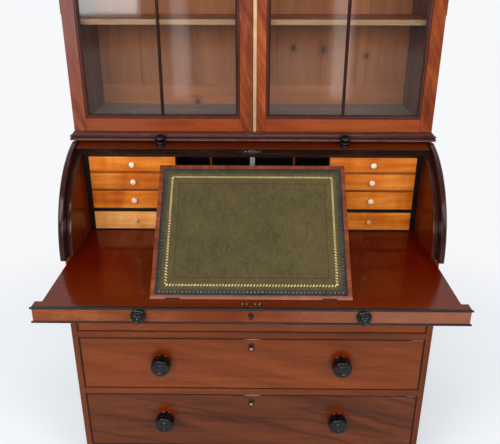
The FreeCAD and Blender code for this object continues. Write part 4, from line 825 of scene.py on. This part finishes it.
for side in ("left", "right"):
    node = f"door_{side}_frame"
    stileA, stileB, lowRail, topRail, bar = (boxOf(faces) for faces in solidsOf(node))
    front, back = lowRail[0].y, lowRail[1].y
    west, east = lowRail[0].x, lowRail[1].x
    foot, head = lowRail[1].z, topRail[0].z
    stock, seeded = newStock(), seedFor(node)
    for low, high in (stileA, stileB):
        low.x, high.x = (east + trim, high.x) if low.x > (west + east) / 2 else (low.x, west - trim)
        outer = max(abs(low.x), abs(high.x)) > abs(east - west)
        addBoard(stock, boxFaces(low, high), "doorMahogany", seeded, doorShape["bevel"], 2,
                 tone=doorTones["outer" if outer else side])
    for bottom, top in ((lowRail[0].z, foot - trim), (head + trim, topRail[1].z)):
        rail = boxFaces((west - trim, front, bottom), (east + trim, back, top))
        addBoard(stock, rail, "doorRailMahogany", seeded, doorShape["bevel"], 0, tone=doorTones["rail"])
    ring = [((west - trim, front, foot - trim), (1, 0, 1)), ((east + trim, front, foot - trim), (-1, 0, 1)),
            ((east + trim, front, head + trim), (-1, 0, -1)), ((west - trim, front, head + trim), (1, 0, -1))]
    addMoulding(stock, ring, (0, 1, 0), doorShape["ovoloLine"], ovoloFinish, True)
    width = bar[1].x - bar[0].x
    barMiddle = (bar[0].x + bar[1].x) / 2
    barEnds = [((barMiddle, front, z), (1, 0, 0)) for z in (foot - trim / 2, head + trim / 2)]
    barLine = [(out * width, depth) for out, depth in doorShape["barLine"]]
    addMoulding(stock, barEnds, (0, 1, 0), barLine, "darkMahogany", False)
    makePiece(node + "_joinery", stock, node)
print("doors framed")

# turned knobs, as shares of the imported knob's radius and length past its peg
knobLines = {
    "drawer": [
        (0.0, 0.0), (0.74, 0.0), (0.72, 0.06), (0.60, 0.10), (0.60, 0.15), (0.78, 0.20), (0.94, 0.25),
        (1.0, 0.34), (0.99, 0.5), (0.985, 0.7), (0.97, 0.82), (0.92, 0.89), (0.83, 0.925), (0.68, 0.945),
        (0.55, 0.95), (0.48, 0.925), (0.42, 0.95), (0.30, 0.965), (0.17, 0.965), (0.13, 0.95), (0.10, 0.975),
        (0.05, 0.995), (0.0, 1.0)],
    "slide": [
        (0.0, 0.0), (0.62, 0.0), (0.61, 0.05), (0.54, 0.09), (0.58, 0.14), (0.86, 0.19), (0.98, 0.25),
        (1.0, 0.33), (0.97, 0.41), (0.85, 0.47), (0.64, 0.50), (0.56, 0.55), (0.57, 0.61), (0.66, 0.66),
        (0.72, 0.74), (0.71, 0.82), (0.64, 0.90), (0.53, 0.955), (0.42, 0.95), (0.32, 0.92), (0.22, 0.94),
        (0.10, 0.985), (0.0, 1.0)],
    "lid": [
        (0.0, 0.0), (0.74, 0.0), (0.78, 0.05), (0.74, 0.11), (0.58, 0.15), (0.55, 0.20), (0.66, 0.26),
        (0.79, 0.32), (0.82, 0.38), (0.74, 0.44), (0.58, 0.48), (0.60, 0.52), (0.86, 0.57), (1.0, 0.66),
        (0.98, 0.77), (0.86, 0.88), (0.56, 0.97), (0.2, 1.0), (0.0, 1.0)],
    "bone": [
        (0.0, 0.0), (0.6, 0.0), (0.56, 0.1), (0.44, 0.2), (0.44, 0.32), (0.62, 0.43), (0.93, 0.55),
        (1.0, 0.68), (0.93, 0.83), (0.7, 0.94), (0.36, 1.0), (0.0, 1.0)],
}
# shape, length of the peg, finish, size; the lowest bone knobs are tan and smaller
knobWork = {"lid_knobs": ("lid", 0.005, "ebonised", 1.0), "slide_knobs": ("slide", 0.006, "ebonised", 1.0)}
for number in range(1, 4):
    knobWork[f"long_drawer_knobs_{number}"] = ("drawer", 0.008, "ebonised", 1.0)
boneRows = {1: ("bone", 1.0), 2: ("bone", 1.0), 3: ("bone", 1.0), 4: ("tanBone", 0.78)}
for side in ("left", "right"):
    for number, (finish, size) in boneRows.items():
        knobWork[f"bone_knob_{side}_{number}"] = ("bone", 0.003, finish, size)
lidAxis = Vector(joints["lid_roll"]["pos_m"])
for node, (shape, peg, finish, size) in knobWork.items():
    stock = newStock()
    for faces in solidsOf(node):
        low, high = boxOf(faces)
        middle = (low + high) / 2
        direction = Vector((0, -1, 0))
        if shape == "lid":
            direction = Vector((0, middle.y - lidAxis.y, middle.z - lidAxis.z)).normalized()
        points = [Vector(point) for face in faces for point in face]
        along = [point.dot(direction) for point in points]
        centre = sum(points, Vector()) / len(points)
        centre = Vector((middle.x, centre.y, centre.z)) if shape == "lid" else middle
        away = [(point - centre - direction * (point - centre).dot(direction)).length for point in points]
        radius, length = max(away), max(along) - min(along) - peg
        base = centre + direction * (min(along) + peg - centre.dot(direction))
        line = [(r * radius * size, h * length * size) for r, h in smoothLine(knobLines[shape])]
        addTurning(stock, line, base, direction, finish)
    makePiece(node + "_turned", stock, node, smooth=60)
print("knobs turned:", len(knobWork))

# locks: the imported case, and a tapering plate with a raised dark rim, pale round its keyhole
# layers on the plate: half width, half height, foot, rise, thickness and finish, in shares of the plate
keyhole = {
    "width": 0.62, "enlarged": 1.6, "rim": 0.3, "foot": 0.34, "taper": 1.5, "steps": 28, "proud": 0.0011,
    "caseBevel": 0.0003, "rimLine": ((0, 0), (0.2, 0.7), (0.5, 1), (0.8, 0.8), (1, 0)), "inset": 0.8,
    "plate": 0.3,
    "layers": ((0.42, 0.34, 0.6, -0.28, 0.35, "pale"), (0.34, 0.24, 1.0, 0.34, 0.4, "keyholeShade"),
               (0.17, 0.30, 0.8, 0.02, 0.4, "keyholeShade"))}
lockWork = {"slide_lock": (2, "dullBrass"), "door_lock": (1, "screwHead")}
for number in range(1, 4):
    lockWork[f"long_drawer_lock_{number}"] = (1, "screwHead")


# a drop shape: round above, drawn in towards the foot
def dropShape(halfWide, halfTall, foot):
    outline = []
    for step in range(keyhole["steps"]):
        angle = 2 * math.pi * step / keyhole["steps"]
        narrowed = 1 - (1 - foot) * max(0.0, -math.sin(angle)) ** keyhole["taper"]
        outline.append((halfWide * math.cos(angle) * narrowed, halfTall * math.sin(angle)))
    return outline


def addPlate(stock, outline, place, thick, finish):
    points = [(place[0] + x, place[1] - lift, place[2] + z) for lift in (0.0, thick) for x, z in outline]
    addShape(stock, points, ringFaces(2, len(outline)), finish)


for node, (plateNumber, paleFinish) in lockWork.items():
    stock, seeded = newStock(), seedFor(node)
    solids = solidsOf(node)
    for number, faces in enumerate(solids):
        if number != plateNumber:
            addBoard(stock, faces, "dullBrass", seeded, keyhole["caseBevel"])
    low, high = boxOf(solids[plateNumber])
    middle = (low + high) / 2
    tall = (high.z - low.z) / 2 * keyhole["enlarged"]
    wide = tall * keyhole["width"]
    rim, proud = wide * keyhole["rim"], keyhole["proud"]
    outline = dropShape(wide, tall, keyhole["foot"])
    corners = []
    for index, (x, z) in enumerate(outline):
        before, after = Vector(outline[index - 1]), Vector(outline[(index + 1) % len(outline)])
        tangent = (after - before).normalized()
        corners.append(((middle.x + x, high.y, middle.z + z), (-tangent.y, 0, tangent.x)))
    rimLine = [(out * rim, up * proud) for out, up in keyhole["rimLine"]]
    addMoulding(stock, corners, (0, -1, 0), rimLine, "beadBrass", True)
    inset = rim * keyhole["inset"]
    plate = dropShape(wide - inset, tall - inset, keyhole["foot"])
    addPlate(stock, plate, (middle.x, high.y, middle.z), proud * keyhole["plate"], "dullBrass")
    for halfWide, halfTall, foot, rise, thick, finish in keyhole["layers"]:
        addPlate(stock, dropShape(wide * halfWide, tall * halfTall, foot),
                 (middle.x, high.y, middle.z + tall * rise), proud * thick,
                 paleFinish if finish == "pale" else finish)
    makePiece(node + "_fittings", stock, node)
print("locks fitted:", len(lockWork))

# round screw heads: along the plate in the lid's edge, and along the strike plate in the slide
screws = {"radius": 0.0026, "dome": 0.00015, "across": (-0.72, -0.36, 0.36, 0.72), "plateThick": 0.002,
          "sides": 16, "line": ((1.0, 0.0), (0.96, 0.5), (0.7, 0.85), (0.35, 1.0))}
dome = [(r * screws["radius"], h * screws["dome"]) for r, h in screws["line"]]
low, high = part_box("lid_link_plate")
linkPoints = [Vector(vertex.co) for vertex in nodes["lid_link_plate"].data.vertices]
linkMiddle = sum(linkPoints, Vector()) / len(linkPoints)
spoke = Vector((0, linkMiddle.y - lidAxis.y, linkMiddle.z - lidAxis.z)).normalized()
outward = Vector((0, -spoke.z, spoke.y))
if outward.y > 0:
    outward = -outward
level = min(point.dot(outward) for point in linkPoints) + screws["plateThick"]
stock = newStock()
for share in screws["across"]:
    place = Vector((share * (high[0] - low[0]) / 2, linkMiddle.y, linkMiddle.z))
    place += outward * (level - place.dot(outward))
    addTurning(stock, dome, place, outward, "screwHead", screws["sides"])
makePiece("lid_link_screws", stock, "lid_link_plate", added=True)
stock = newStock()
low, high = boxOf(solidsOf("slide_lock")[0])
for share in screws["across"]:
    place = Vector((share * (high.x - low.x) / 2, (low.y + high.y) / 2, high.z))
    addTurning(stock, dome, place, (0, 0, 1), "screwHead", screws["sides"])
makePiece("strike_plate_screws", stock, "slide_lock", added=True)

# the slope lies flat in its own frame: x across, y up the slope from the hinge line, z off its face
slopeHinge = Vector(joints["slope_tilt"]["pos_m"])
slopeTilt = math.radians(-joints["slope_tilt"]["range_deg"][0])
fromSlope = Matrix.Translation(slopeHinge) @ Matrix.Rotation(slopeTilt, 4, "X")
toSlope = fromSlope.inverted()
cutBoards("slope_frame", "crossband", 0.0006, {1: 1, 2: 1, 3: 0, 4: 0}, toSlope,
          {number: "mahogany" for number in (0, 5, 6)})


# writing leather: a thin skin with a turned-down edge, ruled lines pressed in, gilt rope laid on
leatherWork = {
    "size": (0.4936, 0.3648), "border": 0.011, "skin": 0.0018, "edge": (0.0002, 0.0008, 0.003),
    "edgeDrop": 0.0006, "edgeEase": 0.0002, "press": 0.00025, "under": 0.0002,
    "fineLine": (0.013, 0.0134, 0.0140, 0.0144), "blind": (0.0462, 0.0012),
    "dots": (0.0078, 0.0098), "dotSizes": (0.9, 0.45, 0.35, 0.45),
    "rope": (0.0262, 0.0080), "ropeSizes": (1.14, 1.14, 1.14, 1.14), "stampTop": 0.75}
width, length = leatherWork["size"]
leatherFoot, under = leatherWork["border"], leatherWork["under"]


def ruled(inset):
    x, foot, head = width / 2 - inset, leatherFoot + inset, leatherFoot + length - inset
    return [(-x, foot), (x, foot), (x, head), (-x, head)]


edge, eased, full = leatherWork["edge"]
skinLine = [(edge, -leatherWork["skin"]), (edge, -leatherWork["edgeDrop"]), (eased, -leatherWork["edgeEase"]),
            (full, 0.0)]
blindAt, blindWidth = leatherWork["blind"]
blindLine = [blindAt + blindWidth * share for share in (-1, -0.5, 0.5, 1)]
for pressedLine in (leatherWork["fineLine"], blindLine):
    skinLine += zip(pressedLine, (0.0, -leatherWork["press"], -leatherWork["press"], 0.0))
points, insets = [], []
for inset, up in skinLine:
    for x, y in ruled(inset):
        points.append(fromSlope @ Vector((x, y, up - under)))
        insets.append(inset)
stock = newStock()
addShape(stock, points, ringFaces(len(skinLine), 4), "leather")
leather = makePiece("slope_leather_skin", stock, "slope_leather")
leather.data.attributes.new("inset", "FLOAT", "POINT").data.foreach_set("value", insets)


# gilt rope: slanted leaves end to end; blind dots: a stamped row near the edge, pale as painted highlights
def stampRow(stock, row, shape, finish, sizes):
    inset, pitch = row
    corners = [Vector(place) for place in ruled(inset)]
    for start, stop, size in zip(corners, corners[1:] + corners[:1], sizes):
        run = (stop - start).length
        count = round(run / pitch)
        along = (stop - start) / run
        across = Vector((-along.y, along.x))
        for number in range(count):
            middle = start + along * (number + 0.5) * run / count
            outline = [middle + along * a * size + across * b * size for a, b in shape]
            top = [middle + (place - middle) * leatherWork["stampTop"] for place in outline]
            points = [fromSlope @ Vector((x, y, -under)) for x, y in outline]
            points += [fromSlope @ Vector((x, y, 0.0)) for x, y in top]
            addShape(stock, points, ringFaces(2, len(shape)), finish)


leaf = [(-0.0026, -0.0019), (-0.0014, -0.0028), (0.0004, -0.0018), (0.0014, 0.0004), (0.0026, 0.0019),
        (0.0014, 0.0028), (-0.0004, 0.0018), (-0.0014, -0.0004)]
dot = [(-0.0030, -0.0010), (-0.0010, -0.0018), (0.0016, -0.0015), (0.0030, 0.0004), (0.0014, 0.0017),
       (-0.0018, 0.0014)]
stock = newStock()
stampRow(stock, leatherWork["rope"], leaf, "giltLeaf", leatherWork["ropeSizes"])
rope = makePiece("leather_gilt_rope", stock, "slope_leather", added=True)
stock = newStock()
stampRow(stock, leatherWork["dots"], dot, "blindStamp", leatherWork["dotSizes"])
dots = makePiece("leather_stamped_dots", stock, "slope_leather", added=True)
print("slope covered")

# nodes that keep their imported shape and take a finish
keptNodes = {"lid_link_plate": "steel", "slope_hinges": "beadBrass", "door_hinges": "dullBrass",
             "door_left_glass": "glass", "door_right_glass": "glass"}
for node, finish in keptNodes.items():
    mesh = nodes[node].data
    mesh.materials.clear()
    mesh.materials.append(finishes[finish])
print("finishes set on", len(keptNodes), "packed nodes")

# camera as the photograph was taken
cameraSetup = {"place": (0.0096, -1.6382, 1.5346), "turn": (67.1000, -0.1105, 0.6067), "lens": 41.82,
               "film": 36, "nearest": 0.05}
camera = bpy.data.objects.new("camera", bpy.data.cameras.new("camera"))
scene.collection.objects.link(camera)
turned = Euler([math.radians(angle) for angle in cameraSetup["turn"]])
camera.matrix_world = Matrix.LocRotScale(Vector(cameraSetup["place"]), turned, None)
camera.data.sensor_width = cameraSetup["film"]
camera.data.lens = cameraSetup["lens"]
camera.data.clip_start = cameraSetup["nearest"]
scene.camera = camera

# pale floor and white surround, soft lamps; the last three stand where the panes mirror them
studio = {
    "reach": 12, "floor": 0.82, "floorCloud": 3.0, "floorDrift": 0.01, "floorGlow": 0.26,
    "glowTint": (0.84, 1.0, 1.13, 1), "floorRough": 0.9, "floorShine": 0.1, "fade": (0.85, 2.0),
    "farFloor": 0.6, "surround": 0.94, "tint": (0.988, 0.996, 1.012, 1), "fill": 0.5, "dimFront": 0.2,
    "dimBand": (-0.35, 0.15),
    "lamps": (("key", (-2.3, -2.7, 3.0), (0, 0, 0.9), (1.8, 1.8), 52),
              ("side", (2.4, -2.7, 2.8), (0, 0, 0.9), (1.8, 1.8), 40),
              ("front", (0.0, -4.2, 2.15), (0, 0, 1.1), (2.6, 1.0), 72),
              ("window", (-1.22, -3.2, 1.62), (-0.4, 0, 1.45), (0.5, 0.75), 7),
              ("stripLeft", (-0.63, -3.2, 1.5), (-0.2, 0, 1.3), (0.14, 1.9), 1.1),
              ("stripRight", (0.73, -3.2, 1.5), (0.2, 0, 1.3), (0.16, 1.9), 1.5))}


# bright where seen straight or through glass; polish mirrors a dim room in front, the white wall elsewhere
def surroundLevel(tree, mirrored):
    path = addNode(tree, "ShaderNodeLightPath")
    straight = sums(tree, "MAXIMUM", path.outputs["Is Camera Ray"], path.outputs["Is Transmission Ray"])
    level = between(tree, straight, 0.0, 1.0, studio["fill"], studio["surround"])
    change = sums(tree, "SUBTRACT", mirrored, studio["fill"])
    return sums(tree, "ADD", level, sums(tree, "MULTIPLY", path.outputs["Is Glossy Ray"], change))


floorMesh = bpy.data.meshes.new("floor")
far = studio["reach"]
floorMesh.from_pydata([(-far, -far, 0), (far, -far, 0), (far, far, 0), (-far, far, 0)], [], [(0, 1, 2, 3)])
floor = bpy.data.objects.new("floor", floorMesh)
scene.collection.objects.link(floor)
floor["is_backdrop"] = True
floorFinish, tree, shader = newMaterial("paleFloor")
place = objectPlace(tree)
pale, drift = studio["floor"], studio["floorDrift"]
shades = [(0.3, (pale - drift,) * 3), (0.7, (pale + drift,) * 3)]
path = addNode(tree, "ShaderNodeLightPath")
lit = sums(tree, "MULTIPLY", path.outputs["Is Camera Ray"], studio["floorGlow"])
settle(tree, shader, Base_Color=ramp(tree, noise(tree, place, studio["floorCloud"]), shades),
       Emission_Color=studio["glowTint"], Emission_Strength=lit, Roughness=studio["floorRough"],
       Specular_IOR_Level=studio["floorShine"])
distance = addNode(tree, "ShaderNodeVectorMath", {0: place}, operation="LENGTH").outputs["Value"]
fade = between(tree, distance, *studio["fade"], 0.0, 1.0)
seen = surroundLevel(tree, studio["surround"] * studio["farFloor"])
beyond = addNode(tree, "ShaderNodeEmission", {"Color": studio["tint"], "Strength": seen})
show(tree, fade, shader, beyond)
floorMesh.materials.append(floorFinish)

world = bpy.data.worlds.new("surround")
scene.world = world
world.use_nodes = True
tree = world.node_tree
aim = addNode(tree, "ShaderNodeSeparateXYZ", {0: addNode(tree, "ShaderNodeTexCoord").outputs["Generated"]})
mirrored = between(tree, aim.outputs["Y"], *studio["dimBand"], studio["dimFront"], studio["surround"])
settle(tree, tree.nodes["Background"], Color=studio["tint"], Strength=surroundLevel(tree, mirrored))
for name, place, target, size, power in studio["lamps"]:
    lamp = bpy.data.lights.new(name, "AREA")
    lamp.shape = "RECTANGLE"
    lamp.size, lamp.size_y = size
    lamp.energy = power
    holder = bpy.data.objects.new(name, lamp)
    scene.collection.objects.link(holder)
    holder.location = place
    holder.rotation_euler = (Vector(target) - Vector(place)).to_track_quat("-Z", "Y").to_euler()
print("studio lit")

low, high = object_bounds()
{"cad": [list(cadLow), list(cadHigh)], "visual": [list(low), list(high)]}
